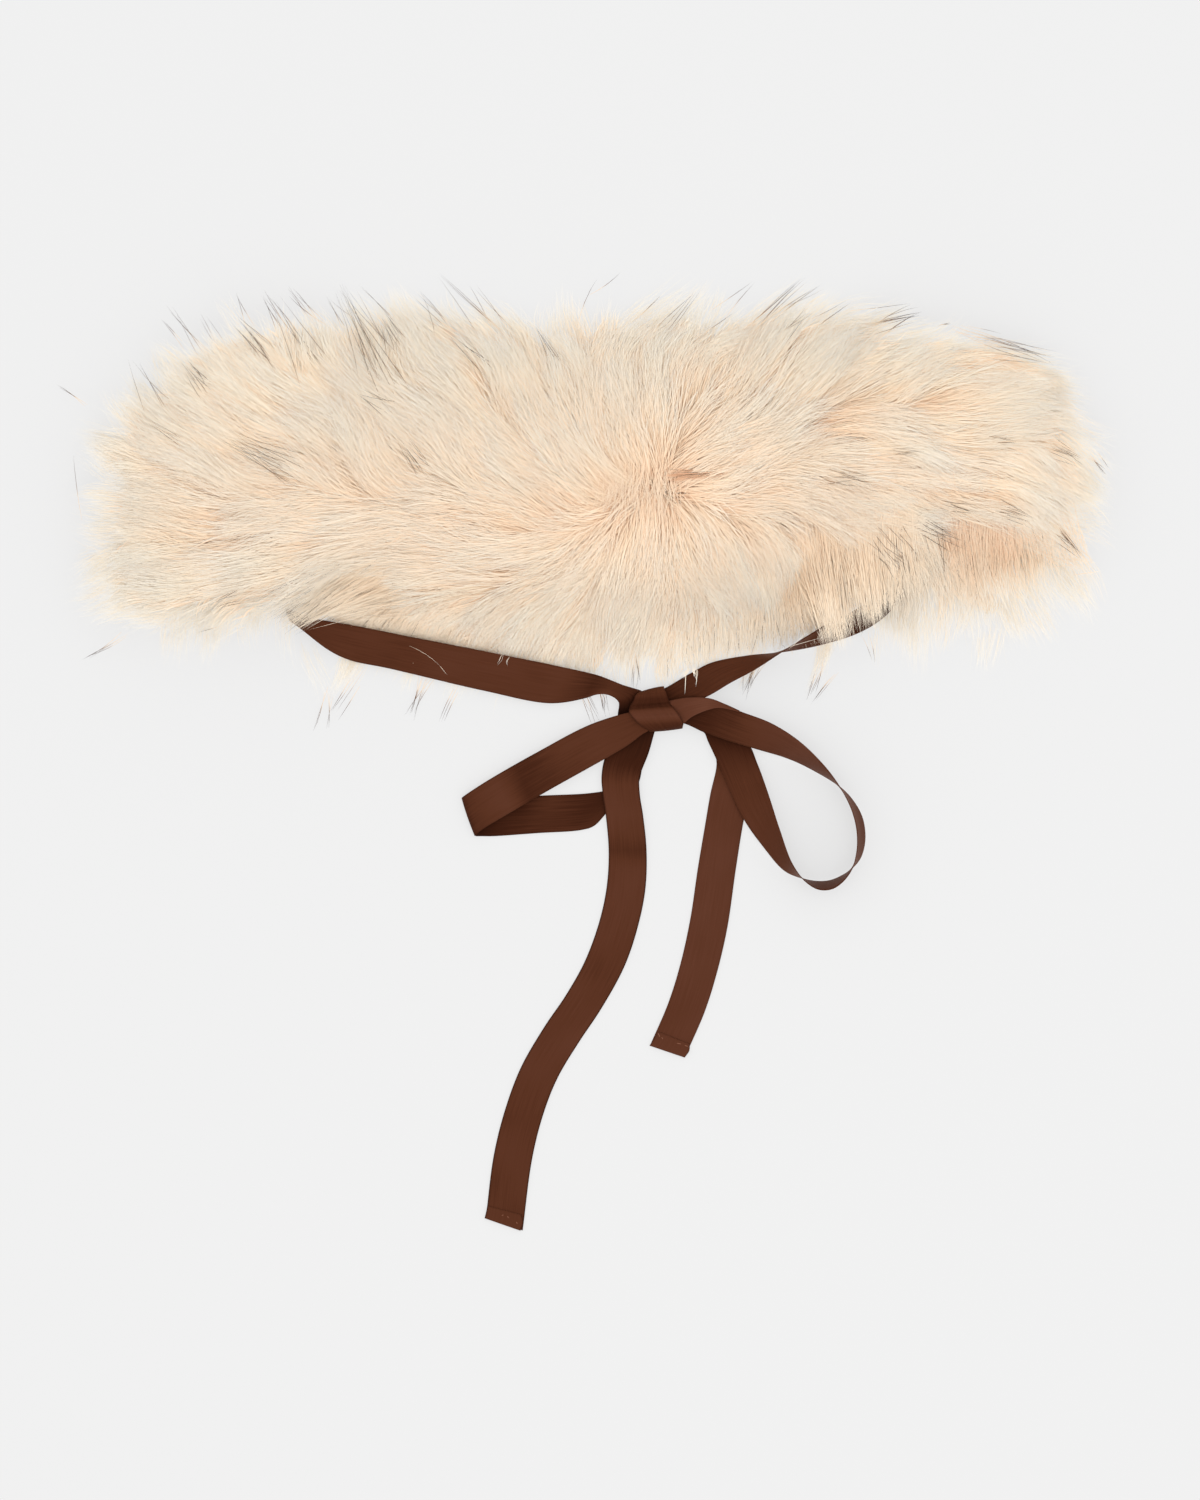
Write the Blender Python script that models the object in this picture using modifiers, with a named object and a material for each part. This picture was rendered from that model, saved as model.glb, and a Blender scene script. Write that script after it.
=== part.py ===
"""Long-pile fur collar wrap with two satin ribbon ties, laid flat and tied in a bow.

The collar is a straight strip of fur. Worn, it goes round the neck and the ribbons close it. Here it lies
flattened: the back of the neck is on top, and both ends are folded under it, so they lie between it and the
table. One ribbon leaves each end, and the two are tied below the fur.

Frame: metres in the file, +Z up, the part rests on z = 0 with its origin under the middle of its bounding box.
+X runs along the collar, +Y from the ribbons to the fur. The tables below are in millimetres.
"""

import math

import bmesh
import bpy

MM = 0.001

# Driving dimensions, in millimetres
RIBBON_WALL = 1.0  # the satin itself is thinner: this is the least that a solid here may be
RIBBON_STEP = 7.0  # spacing of the cross-sections along a ribbon
OUTLINE_STEP = 2.0  # spacing of the points that an outline's length is measured with
SEAM = 0.3  # clearance between the folded layers, each side of their seam
FOLD_HEIGHT = 22.0  # where the folded ends meet the layer that lies on them
LOCKS_BACK = 58  # tufts round the top layer
LOCKS_END = 26  # tufts round each folded end
POINTS_PER_LOCK = 3
LOCK_REACH = (-6.0, 0.5, 5.0)  # notch, flank and tip of a tuft, beyond the outline
LOCK_RELIEF = (-2.4, 0.4, 2.2)  # the same three points, up and down on the pile
LOCK_LEAN = 3.0  # how far a tuft's tip leans to one side, at the most
LOCK_SIZES = (0.45, 1.35)  # the smallest and the largest tuft, beside the reach and relief above
GOLDEN_SHARE = 0.618034  # its multiples spread evenly with no repeat, so neighbouring tufts differ
GOLDEN_ANGLE = 2.4  # the same, as an angle in radians
FREE_FROM = 0.6  # from this share on, a tuft's tip stands free of its neighbours
THIN_FROM = 0.8  # and from this one its relief fades
THIN_TO = 0.25  # to this share of itself at the tip
ROWS_OF_LOCKS = (0.8, 0.5)  # shares where one row of tufts ends and the next, higher one begins
ROW_SHIFT = 2  # points that a row is shifted by
TUFTS_FROM_BACK = (0.12, 0.42)  # shares of the way from root to tip in which the tufts come up
TUFTS_FROM_END = (0.56, 0.84)
SHIFT_LEFT = (-124.0, -153.0)  # the top layer climbs onto the left end between these x
SHIFT_RIGHT = (124.0, 154.0)  # and onto the right end between these
PRESSED = (96.0, 66.0)  # the pile lies flat under the ribbons from the first y down to the second

# Tip outline of the top layer, anticlockwise in plan from its right-hand end
OUTLINE_BACK = [  # x, y
    (263, 128), (256, 110), (241, 106), (218, 109), (197, 112), (174, 108), (156, 98), (137, 87), (118, 78),
    (98, 68), (77, 57), (54, 45), (24, 40), (-10, 38), (-47, 40), (-78, 46), (-104, 51), (-122, 60), (-134, 72),
    (-148, 80), (-162, 74), (-180, 68), (-207, 68), (-236, 66), (-252, 70), (-258, 88), (-260, 112),
    (-260, 138), (-258, 162), (-250, 182), (-235, 203), (-217, 218), (-192, 230), (-160, 237), (-122, 240),
    (-83, 240), (-42, 235), (-10, 233), (22, 237), (62, 239), (104, 237), (143, 232), (178, 225), (211, 217),
    (234, 203), (251, 183), (260, 163), (264, 146),
]
SPINE_SHARE = 0.56  # a tuft grows from the spine at this share of its tip's x
SPINE = [  # x, y: the line that the pile parts from
    (-150, 124), (-88, 123), (-26, 124), (26, 138), (68, 145), (140, 160), (160, 160),
]

# Tip outlines of the two folded ends, and the middle that each one's pile grows from
OUTLINE_LEFT = [  # x, y
    (-157, 130), (-154, 98), (-150, 68), (-141, 47), (-138, 32), (-150, 47), (-171, 59), (-200, 60),
    (-229, 58), (-252, 60), (-259, 82), (-260, 116), (-258, 152), (-250, 180), (-234, 202), (-208, 215),
    (-180, 210), (-163, 190), (-158, 160),
]
MIDDLE_LEFT = (-206, 130)
OUTLINE_RIGHT = [  # x, y
    (150, 104), (149, 80), (156, 62), (174, 60), (193, 56), (216, 60), (237, 67), (255, 80), (260, 104),
    (261, 136), (252, 167), (234, 190), (208, 204), (180, 202), (160, 184), (153, 150),
]
MIDDLE_RIGHT = (206, 125)

# Heights of the pile from the spine (share 0) to the tips (share 1)
PILE_ON_FOLD = [  # share, top
    (0.10, 55), (0.25, 54), (0.42, 51), (0.58, 45.5), (0.72, 38.5), (0.84, 31.5), (0.93, 27), (1.00, 24.5),
]
PILE_ON_TABLE = [  # share, top
    (0.10, 47), (0.25, 46), (0.42, 42), (0.58, 35), (0.72, 26), (0.84, 16.5), (0.93, 9), (1.00, 3.5),
]
PILE_PRESSED = [  # share, top
    (0.10, 47), (0.25, 45), (0.42, 38), (0.58, 24), (0.72, 12), (0.84, 6.5), (0.93, 4), (1.00, 2.0),
]
PILE_OF_END = [  # share, top
    (0.30, 21.7), (0.52, 21.7), (0.70, 16.5), (0.84, 9), (0.93, 5), (1.00, 2.4),
]
UNDERSIDE_SHARES = (0.93, 0.72, 0.42)  # rings of the underside, from the tips inwards

# Ribbons, each as its two selvedges a and b. The plan distance between them is under the 20 mm width where the
# ribbon leans or stands on edge, and the heights make up the rest; it is gathered next to the knot.
TIE_LEFT = [  # ax, ay, az, bx, by, bz
    (-161, 78, 20.8, -159, 67.5, 17.1),
    (-153, 75, 19.7, -151, 66, 13.5),
    (-142, 72, 17.5, -137, 57, 9.3),
    (-124, 69, 14.8, -125, 51, 6.8),
    (-99, 64, 13.0, -104, 46.5, 5.9),
    (-50, 54.5, 10.8, -55, 35, 4.5),
    (-15.5, 47.5, 9.4, -21, 28.5, 3.8),
    (4, 43, 9.0, -3, 31, 3.8),
    (13, 39.5, 8.6, 8, 32, 4.6),
    (20.1, 33.5, 8.0, 19.7, 27, 5.6),
]
TIE_RIGHT = [
    (40.5, 36.2, 6.0, 46, 30.2, 6.0),
    (52.5, 44.2, 6.2, 61.4, 32.2, 10.0),
    (63.4, 49.6, 6.4, 72.8, 39, 14.0),
    (80.6, 53, 6.2, 85.3, 45.8, 17.5),
    (99.3, 55, 3.0, 101, 56, 21.5),
    (120.6, 59, 3.5, 120.6, 68, 20.8),
    (139.4, 65, 6.0, 135.2, 75.5, 20.0),
    (153, 73.5, 12.0, 148.7, 84.5, 20.2),
    (169, 92, 19.8, 163, 107, 21.4),
]
LOOP_LEFT = [
    (19.3, 23.0, 7.0, 27.0, 14.0, 6.4),
    (2, 18.2, 6.6, 20, 5.7, 5.4),
    (-27.6, 3, 5.6, -21, -16.5, 4.4),
    (-50.5, -10, 5.0, -40, -27.5, 4.0),
    (-62.5, -17.6, 4.4, -55.5, -36.8, 3.8),
    (-65.6, -19.8, 4.1, -58.8, -39.4, 4.0),
    (-66.6, -20.7, 2.7, -59.8, -40.3, 2.7),
    (-65.7, -20.9, 1.4, -58.9, -40.6, 1.4),
    (-63.0, -20.8, 0.9, -56.4, -40.6, 0.9),
    (-52, -20.6, 0.7, -50, -40.6, 0.7),
    (-23, -19.4, 0.7, -27, -39, 0.7),
    (0, -18.2, 0.7, -5, -37.2, 0.7),
    (8.5, -16.6, 0.7, 7, -33.5, 0.7),
    (14, -11.5, 0.7, 18, -26.5, 0.7),
    (17.5, -2, 0.7, 24.5, -14.5, 0.7),
    (22, 6, 0.8, 28, -0.5, 0.8),
    (27.5, 12, 1.2, 32, 8, 1.2),
]
LOOP_RIGHT = [
    (47.4, 28, 7.6, 47.6, 19, 6.2),
    (62, 30.5, 9.5, 59, 13.5, 5.4),
    (77.5, 24.4, 12.0, 72, 9, 5.2),
    (94, 18, 14.2, 87.5, 4.4, 4.0),
    (108, 9, 17.0, 101.5, 0.3, 1.9),
    (119.5, -2, 19.2, 113.5, -5, 1.2),
    (129, -14.4, 20.4, 130, -15, 1.2),
    (134.7, -25, 20.2, 137.8, -23.5, 1.2),
    (137.6, -34.5, 19.8, 142, -32.3, 1.2),
    (138.4, -43.6, 19.8, 143, -42.8, 1.2),
    (137.6, -50.8, 20.2, 140.8, -51.6, 1.2),
    (135.8, -57, 20.5, 136.2, -57.4, 1.2),
    (131.6, -63.2, 20.3, 130.6, -61.2, 1.2),
    (125.6, -67.6, 20.0, 124.6, -63.6, 1.2),
    (118.4, -68, 20.0, 118, -64, 1.2),
    (111.2, -63.6, 20.2, 110.6, -62.6, 1.2),
    (104.6, -54.5, 18.6, 101.2, -58.6, 1.2),
    (98.4, -37.5, 15.8, 90.5, -46.6, 2.2),
    (92.8, -19.6, 10.4, 79, -30.2, 2.6),
    (87, -3, 5.0, 67.2, -4, 2.6),
    (81.5, 9, 3.4, 61, 8.5, 2.6),
    (68, 18.6, 3.2, 54.5, 14.2, 2.8),
    (54, 23.5, 3.4, 48.6, 17.6, 3.0),
]
TAIL_LEFT = [
    (27, 12.0, 3.6, 34.4, 14.4, 4.2),
    (13.5, -1, 2.5, 30.7, 3.1, 2.5),
    (6.2, -14, 2.4, 25.5, -9.9, 2.4),
    (8.3, -29.6, 2.3, 27.6, -29.6, 2.3),
    (9.7, -47.8, 1.4, 29.4, -48, 1.4),
    (8.8, -66, 0.7, 28.8, -68, 0.7),
    (5, -84.5, 0.7, 24.8, -88, 0.7),
    (-2.4, -105, 0.7, 17.6, -109, 0.7),
    (-12.5, -123.2, 0.7, 5.8, -130.4, 0.7),
    (-23.9, -140, 0.7, -5.8, -147.8, 0.7),
    (-36, -161, 0.7, -17, -166.6, 0.7),
    (-44.2, -183, 0.7, -24.6, -186.2, 0.7),
    (-50, -206.4, 0.7, -30.2, -209, 0.7),
    (-54.2, -239.4, 0.7, -35, -245.6, 0.7),
]
TAIL_RIGHT = [
    (46.6, 18.8, 1.6, 47, 24, 1.6),
    (56.5, 12.5, 0.8, 61.5, 18, 0.8),
    (63, 4, 0.7, 76, 8.8, 0.7),
    (65.3, -4, 0.7, 83.5, -4, 0.7),
    (62.9, -19.4, 0.7, 82.2, -20.6, 0.7),
    (59.8, -35, 0.7, 79, -37.4, 0.7),
    (56.2, -56.4, 0.7, 75.6, -59.2, 0.7),
    (52, -84.4, 0.7, 71.4, -88.2, 0.7),
    (46.8, -107.8, 0.7, 66, -111.6, 0.7),
    (40.6, -127.6, 0.7, 59.6, -132, 0.7),
    (31.2, -149.4, 0.7, 49.4, -155.4, 0.7),
]

# The knot: a band wrapped over the gathered ribbons, as sections across its length
KNOT = [  # x, y of the middle, half width in y, half height
    (20.6, 28.5, 4.6, 3.4), (23, 27.2, 7.4, 4.6), (28, 25.7, 9.9, 5.3), (34, 25.5, 10.5, 5.6),
    (40, 25.0, 9.6, 5.5), (44, 24.2, 7.4, 4.9), (46.6, 23.6, 5.2, 3.7),
]
KNOT_MIDDLE = 6.0  # height of its axis
KNOT_SIDES = 24
KNOT_CREASE = 0.7  # depth of the creases where the band is gathered
KNOT_CREASES = 3
KNOT_CREASE_TURN = 9.0  # millimetres along the knot in which a crease runs one radian round it
KNOT_STEP = 3.0  # spacing of its sections
KNOT_ROUNDNESS = 2.6  # power of the superellipse: 2 is an ellipse, more is squarer

COLOURS = {  # sRGB colour, roughness
    "pile": ("EED9C0", 0.85),
    "pile_under": ("E2C3A6", 0.85),
    "satin": ("5E3527", 0.42),
}


def linear(hex_colour):
    """An sRGB hex colour as the linear RGBA that Blender's sockets take."""
    channels = [int(hex_colour[i : i + 2], 16) / 255 for i in (0, 2, 4)]
    return [c / 12.92 if c <= 0.04045 else ((c + 0.055) / 1.055) ** 2.4 for c in channels] + [1.0]


def smoothstep(value, start, end):
    share = min(1.0, max(0.0, (value - start) / (end - start)))
    return share * share * (3 - 2 * share)


def blend(a, b, share):
    return a + (b - a) * share


def read_curve(rows, x):
    """Straight interpolation in a table of (x, value) rows with rising x."""
    for (x0, v0), (x1, v1) in zip(rows, rows[1:]):
        if x <= x1:
            return blend(v0, v1, max(0.0, (x - x0) / (x1 - x0)))
    return rows[-1][1]


def smooth_rows(rows, step, closed=False):
    """Points on a smooth curve through the rows, about one step apart and always on every row."""
    count = len(rows)
    pick = (lambda i: rows[i % count]) if closed else (lambda i: rows[min(max(i, 0), count - 1)])

    def knot_gap(p, q):
        return max(1e-3, math.dist(p, q)) ** 0.5

    def tangent(i):
        before, here, after = pick(i - 1), pick(i), pick(i + 1)
        gap_in, gap_out = knot_gap(before, here), knot_gap(here, after)
        if before == here or here == after:
            return [(a - b) / (gap_in if before != here else gap_out) for a, b in zip(after, before)]
        return [
            (h - b) / gap_in - (a - b) / (gap_in + gap_out) + (a - h) / gap_out
            for b, h, a in zip(before, here, after)
        ]

    points = []
    for i in range(count if closed else count - 1):
        start, end = pick(i), pick(i + 1)
        gap = knot_gap(start, end)
        t0, t1 = tangent(i), tangent(i + 1)
        parts = max(1, round(math.dist(start[:2], end[:2]) / step))
        for k in range(parts):
            s = k / parts
            h = (2 * s**3 - 3 * s**2 + 1, s**3 - 2 * s**2 + s, -2 * s**3 + 3 * s**2, s**3 - s**2)
            points.append([
                h[0] * p + h[1] * gap * m + h[2] * q + h[3] * gap * n
                for p, m, q, n in zip(start, t0, end, t1)
            ])
    if not closed:
        points.append(list(rows[-1]))
    return points


def even_ring(rows, count):
    """The closed curve through the rows, cut into count points at equal distances."""
    fine = smooth_rows(rows, OUTLINE_STEP, closed=True)
    fine.append(fine[0])
    travelled = [0.0]
    for p, q in zip(fine, fine[1:]):
        travelled.append(travelled[-1] + math.dist(p, q))
    ring, k = [], 0
    for i in range(count):
        goal = travelled[-1] * i / count
        while travelled[k + 1] < goal:
            k += 1
        share = (goal - travelled[k]) / (travelled[k + 1] - travelled[k])
        ring.append((blend(fine[k][0], fine[k + 1][0], share), blend(fine[k][1], fine[k + 1][1], share)))
    return ring


def new_collection(name):
    collection = bpy.data.collections.new(name)
    bpy.context.scene.collection.children.link(collection)
    return collection


def new_material(name):
    colour, roughness = COLOURS[name]
    material = bpy.data.materials.new(name)
    material.use_nodes = True
    shader = material.node_tree.nodes["Principled BSDF"]
    shader.inputs["Base Color"].default_value = linear(colour)
    shader.inputs["Roughness"].default_value = roughness
    material.diffuse_color = linear(colour)
    return material


def new_object(name, mesh_data, collection, material):
    """A named object from a bmesh in millimetres."""
    bmesh.ops.recalc_face_normals(mesh_data, faces=mesh_data.faces)
    bmesh.ops.scale(mesh_data, vec=(MM, MM, MM), verts=mesh_data.verts)
    mesh = bpy.data.meshes.new(name)
    mesh_data.to_mesh(mesh)
    mesh_data.free()
    mesh.shade_smooth()
    mesh.materials.append(material)
    obj = bpy.data.objects.new(name, mesh)
    collection.objects.link(obj)
    return obj


def loft(mesh_data, rings, close_round=True):
    """Quads between each ring of points and the next."""
    made = [[mesh_data.verts.new(point) for point in ring] for ring in rings]
    count = len(made[0])
    for lower, upper in zip(made, made[1:]):
        for i in range(count if close_round else count - 1):
            j = (i + 1) % count
            mesh_data.faces.new((lower[i], lower[j], upper[j], upper[i]))
    return made


def cap(mesh_data, ring):
    """One flat face over a ring, cut into triangles inside its outline."""
    face = mesh_data.faces.new(ring)
    bmesh.ops.triangulate(mesh_data, faces=[face], quad_method="BEAUTY", ngon_method="BEAUTY")


def lock_size(number):
    """An uneven size for each tuft."""
    return blend(*LOCK_SIZES, (number * GOLDEN_SHARE) % 1.0)


def pile(name, outline, locks, root_of, height_of, floor_of, heights, tufts_from, collection, material):
    """A thick layer of pile: rings from its roots to the tuft tips on top, and back again underneath."""
    shares = [share for share, _ in heights]
    count = locks * POINTS_PER_LOCK
    tips = even_ring(outline, count)
    roots = [root_of(*tip) for tip in tips]

    def spot(i, share):
        lock, place = divmod(i, POINTS_PER_LOCK)
        (tx, ty), (rx, ry) = tips[i], roots[i]
        length = math.dist((tx, ty), (rx, ry))
        free = smoothstep(share, FREE_FROM, 1.0)
        reach = share * (1.0 + LOCK_REACH[place] * lock_size(lock) * free / length)
        lean = LOCK_LEAN * math.sin(GOLDEN_ANGLE * lock) * free / length
        return (
            blend(rx, tx, reach) - (ty - ry) * lean,
            blend(ry, ty, reach) + (tx - rx) * lean,
        )

    def relief(i, share):
        """The tufts lie in rows like shingles: each row is shifted by a part of a tuft from the one before."""
        row = sum(share <= end for end in ROWS_OF_LOCKS)
        lock, place = divmod(i + row * ROW_SHIFT, POINTS_PER_LOCK)
        thinner = blend(1.0, THIN_TO, smoothstep(share, THIN_FROM, 1.0))
        return LOCK_RELIEF[place] * lock_size(lock + locks * row) * smoothstep(share, *tufts_from) * thinner

    rings = []
    for share in shares:
        ring = []
        for i in range(count):
            x, y = spot(i, share)
            ring.append((x, y, height_of(x, y, share) + relief(i, share)))
        rings.append(ring)
    for share in UNDERSIDE_SHARES:
        rings.append([(*spot(i, share), floor_of(*spot(i, share))) for i in range(count)])
    mesh_data = bmesh.new()
    made = loft(mesh_data, rings)
    cap(mesh_data, made[0])
    cap(mesh_data, made[-1])
    return new_object(name, mesh_data, collection, material)


def lift(x):
    """How far the top layer has climbed onto a folded end at x, from 0 to 1."""
    return smoothstep(x, *SHIFT_LEFT) if x < 0 else smoothstep(x, *SHIFT_RIGHT)


def top_floor(x, y):
    return (FOLD_HEIGHT + SEAM) * lift(x)


def top_height(x, y, share):
    pressed = smoothstep(y, *PRESSED)
    on_table = blend(read_curve(PILE_ON_TABLE, share), read_curve(PILE_PRESSED, share), pressed)
    return blend(on_table, read_curve(PILE_ON_FOLD, share), lift(x))


def end_height(x, y, share):
    return read_curve(PILE_OF_END, share)


def table(x, y):
    return 0.0


def spine_point(x, y):
    root_x = x * SPINE_SHARE
    return root_x, read_curve(SPINE, root_x)


def ribbon(name, rows, collection, material):
    """An open strip between two selvedges, given its wall by Solidify."""
    strip = bmesh.new()
    sections = []
    for ax, ay, az, bx, by, bz in smooth_rows(rows, RIBBON_STEP):
        middle = ((ax + bx) / 2, (ay + by) / 2, (az + bz) / 2)
        sections.append([(ax, ay, az), middle, (bx, by, bz)])
    loft(strip, sections, close_round=False)
    obj = new_object(name, strip, collection, material)
    wall = obj.modifiers.new("wall", "SOLIDIFY")
    wall.thickness = RIBBON_WALL * MM
    wall.offset = 0.0
    wall.use_even_offset = True
    return obj


def bow_knot(name, collection, material):
    """A rounded band with creases running round it, closed flat where the ribbons go in."""
    rings = []
    for x, y_middle, half_width, half_height in smooth_rows(KNOT, KNOT_STEP):
        ring = []
        for k in range(KNOT_SIDES):
            angle = math.tau * k / KNOT_SIDES
            across, up = math.cos(angle), math.sin(angle)
            round_to = (abs(across) ** KNOT_ROUNDNESS + abs(up) ** KNOT_ROUNDNESS) ** (-1 / KNOT_ROUNDNESS)
            crease = KNOT_CREASE * math.sin(KNOT_CREASES * (angle + x / KNOT_CREASE_TURN)) * max(0.0, up)
            ring.append((
                x,
                y_middle + half_width * across * round_to,
                KNOT_MIDDLE + (half_height + crease) * up * round_to,
            ))
        rings.append(ring)
    mesh_data = bmesh.new()
    made = loft(mesh_data, rings)
    cap(mesh_data, made[0])
    cap(mesh_data, made[-1])
    return new_object(name, mesh_data, collection, material)


def main():
    for old in list(bpy.data.objects):
        bpy.data.objects.remove(old, do_unlink=True)
    collar = new_collection("fur_collar_wrap")
    fur, fur_under, satin = (new_material(name) for name in ("pile", "pile_under", "satin"))

    pile(
        "fur_back", OUTLINE_BACK, LOCKS_BACK, spine_point, top_height, top_floor,
        PILE_ON_FOLD, TUFTS_FROM_BACK, collar, fur,
    )
    for name, outline, middle in (
        ("fur_end_left", OUTLINE_LEFT, MIDDLE_LEFT),
        ("fur_end_right", OUTLINE_RIGHT, MIDDLE_RIGHT),
    ):
        pile(
            name, outline, LOCKS_END, lambda x, y, root=middle: root, end_height, table,
            PILE_OF_END, TUFTS_FROM_END, collar, fur_under,
        )
    for name, rows in (
        ("tie_left", TIE_LEFT), ("tie_right", TIE_RIGHT), ("loop_left", LOOP_LEFT),
        ("loop_right", LOOP_RIGHT), ("tail_left", TAIL_LEFT), ("tail_right", TAIL_RIGHT),
    ):
        ribbon(name, rows, collar, satin)
    bow_knot("knot", collar, satin)


main()
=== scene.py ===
# %% [markdown]
# # A long-pile fur collar wrap with a satin bow
# The collar is a strip of faux fur. Laid down flat, its back lies on top and both ends are folded under it.
# A satin ribbon leaves each end, and the two are tied in a bow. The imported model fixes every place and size:
# this lesson hangs the hair, the knitted backing and the thin satin on it, and never moves it.

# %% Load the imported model
import math
from typing import Callable, NamedTuple

import bpy
import numpy as np
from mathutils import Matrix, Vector
from mathutils.bvhtree import BVHTree


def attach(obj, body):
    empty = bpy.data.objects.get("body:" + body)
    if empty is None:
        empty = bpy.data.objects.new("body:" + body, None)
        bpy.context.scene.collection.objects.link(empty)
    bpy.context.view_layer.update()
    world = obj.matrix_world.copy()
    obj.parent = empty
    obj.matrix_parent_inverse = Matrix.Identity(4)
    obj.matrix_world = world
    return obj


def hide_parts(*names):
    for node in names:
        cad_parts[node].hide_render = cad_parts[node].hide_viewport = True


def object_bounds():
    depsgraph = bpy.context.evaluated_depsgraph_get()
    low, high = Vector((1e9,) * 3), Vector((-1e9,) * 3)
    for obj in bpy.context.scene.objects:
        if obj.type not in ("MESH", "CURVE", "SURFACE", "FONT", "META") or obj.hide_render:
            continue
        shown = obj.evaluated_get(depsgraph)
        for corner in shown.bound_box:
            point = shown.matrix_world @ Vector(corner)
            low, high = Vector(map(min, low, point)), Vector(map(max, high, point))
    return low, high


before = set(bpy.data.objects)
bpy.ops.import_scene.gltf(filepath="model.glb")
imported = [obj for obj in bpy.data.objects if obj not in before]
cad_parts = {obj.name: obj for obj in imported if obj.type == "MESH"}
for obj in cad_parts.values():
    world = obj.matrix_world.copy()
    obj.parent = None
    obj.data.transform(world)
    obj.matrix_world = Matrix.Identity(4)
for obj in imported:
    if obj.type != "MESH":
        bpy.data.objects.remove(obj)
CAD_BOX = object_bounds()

MM = 0.001  # the tables below are in millimetres, and Blender works in metres
BODY = "root"
size_mm = [round((high - low) / MM, 1) for low, high in zip(*CAD_BOX)]
print("nodes:", sorted(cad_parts), "box in mm:", size_mm)

# %% [markdown]
# ## Small helpers
# Colours are written as a designer writes them, in sRGB hex, and one function turns them to the linear values
# that a shader wants. Two more fill a node's inputs and add a node. Its settings are keyword arguments, and
# each input is either a plain value or the socket of an earlier node, which is linked.

# %% Colour, node and material helpers
def linear(hex_colour):
    """An sRGB hex colour as linear RGBA."""
    channels = [int(hex_colour[i : i + 2], 16) / 255 for i in (0, 2, 4)]
    return tuple(c / 12.92 if c <= 0.04045 else ((c + 0.055) / 1.055) ** 2.4 for c in channels) + (1.0,)


def fill_inputs(tree, node, inputs):
    """Sets a node's inputs, or links them where the value is a socket."""
    for key, value in inputs.items():
        if isinstance(value, bpy.types.NodeSocket):
            tree.links.new(value, node.inputs[key])
        else:
            node.inputs[key].default_value = value


def add_node(tree, kind, inputs=None, **settings):
    """A shader node with its settings and its inputs."""
    made = tree.nodes.new(kind)
    for key, value in settings.items():
        setattr(made, key, value)
    fill_inputs(tree, made, inputs or {})
    return made


def fill_ramp(ramp, stops):
    """Sets a colour ramp to (place, hex) stops."""
    while len(ramp.elements) > 1:
        ramp.elements.remove(ramp.elements[-1])
    for number, (place, colour) in enumerate(stops):
        element = ramp.elements[0] if number == 0 else ramp.elements.new(place)
        element.position = place
        element.color = linear(colour)


def start_material(name):
    """A new material, its node tree and its Principled shader."""
    material = bpy.data.materials.new(name)
    material.use_nodes = True
    tree = material.node_tree
    return material, tree, tree.nodes["Principled BSDF"]


def place_piece(name, mesh, material):
    """A mesh as a piece of the part, riding on its one body."""
    mesh.materials.append(material)
    piece = bpy.data.objects.new(name, mesh)
    bpy.context.scene.collection.objects.link(piece)
    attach(piece, BODY)
    return piece


def add_mesh(name, points, faces, material):
    """A smooth piece from points in millimetres and faces."""
    mesh = bpy.data.meshes.new(name)
    mesh.from_pydata([tuple(p) for p in np.asarray(points, float) * MM], [], faces)
    mesh.validate()
    mesh.shade_smooth()
    return place_piece(name, mesh, material)


def unit(vectors):
    """The vectors, each with a length of one."""
    return vectors / np.maximum(np.linalg.norm(vectors, axis=-1, keepdims=True), 1e-9)


# %% [markdown]
# ## Camera, table and light
# The camera looks straight down from 4 m through a long lens, so that the raised pile hardly grows towards
# the edges. Its frame is 1200 by 1500 pixels, and some places further down are given in those pixels, right and
# down from the upper left corner. The light is a white studio: a bright even dome, and one wide soft box
# overhead that gives the locks and the ribbons their gentle shading. Pale things are laid on an opal acrylic
# light table, which glows enough to wash out the shadow round them, and so does this floor.

# %% Camera
CAMERA_HEIGHT = 4000.0
VIEW_HEIGHT = 780.0  # how much of the table the tall side of the picture covers
VIEW_MIDDLE = (5.2, 4.2)
SENSOR = 36.0
PIXEL = VIEW_HEIGHT / 1500  # millimetres of the table to a pixel of the frame
ORIGIN_PIXEL = (590, 758)  # where the part's origin shows
WHITE = (1.0, 1.0, 1.0, 1.0)

scene = bpy.context.scene
camera = bpy.data.objects.new("camera", bpy.data.cameras.new("camera"))
camera.data.sensor_width = SENSOR
camera.data.lens = SENSOR * CAMERA_HEIGHT / VIEW_HEIGHT
camera.location = (VIEW_MIDDLE[0] * MM, VIEW_MIDDLE[1] * MM, CAMERA_HEIGHT * MM)
scene.collection.objects.link(camera)
scene.camera = camera
scene.view_settings.view_transform = "Standard"


def on_table(x, y):
    """A pixel of the frame as a place on the table, in millimetres."""
    return (x - ORIGIN_PIXEL[0]) * PIXEL, (ORIGIN_PIXEL[1] - y) * PIXEL


print("lens:", round(camera.data.lens, 1), "mm, a pixel:", PIXEL, "mm")

# %% Table and light
TABLE_SIDE = 6000.0
TABLE_COLOUR = "808080"
TABLE_GLOW = 0.60
DOME_STRENGTH = 1.005
SOFT_BOX_SIDE = 1.6
SOFT_BOX_PLACE = (0.18, -0.15, 2.25)  # metres
SOFT_BOX_WATTS = 17.8

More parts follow.
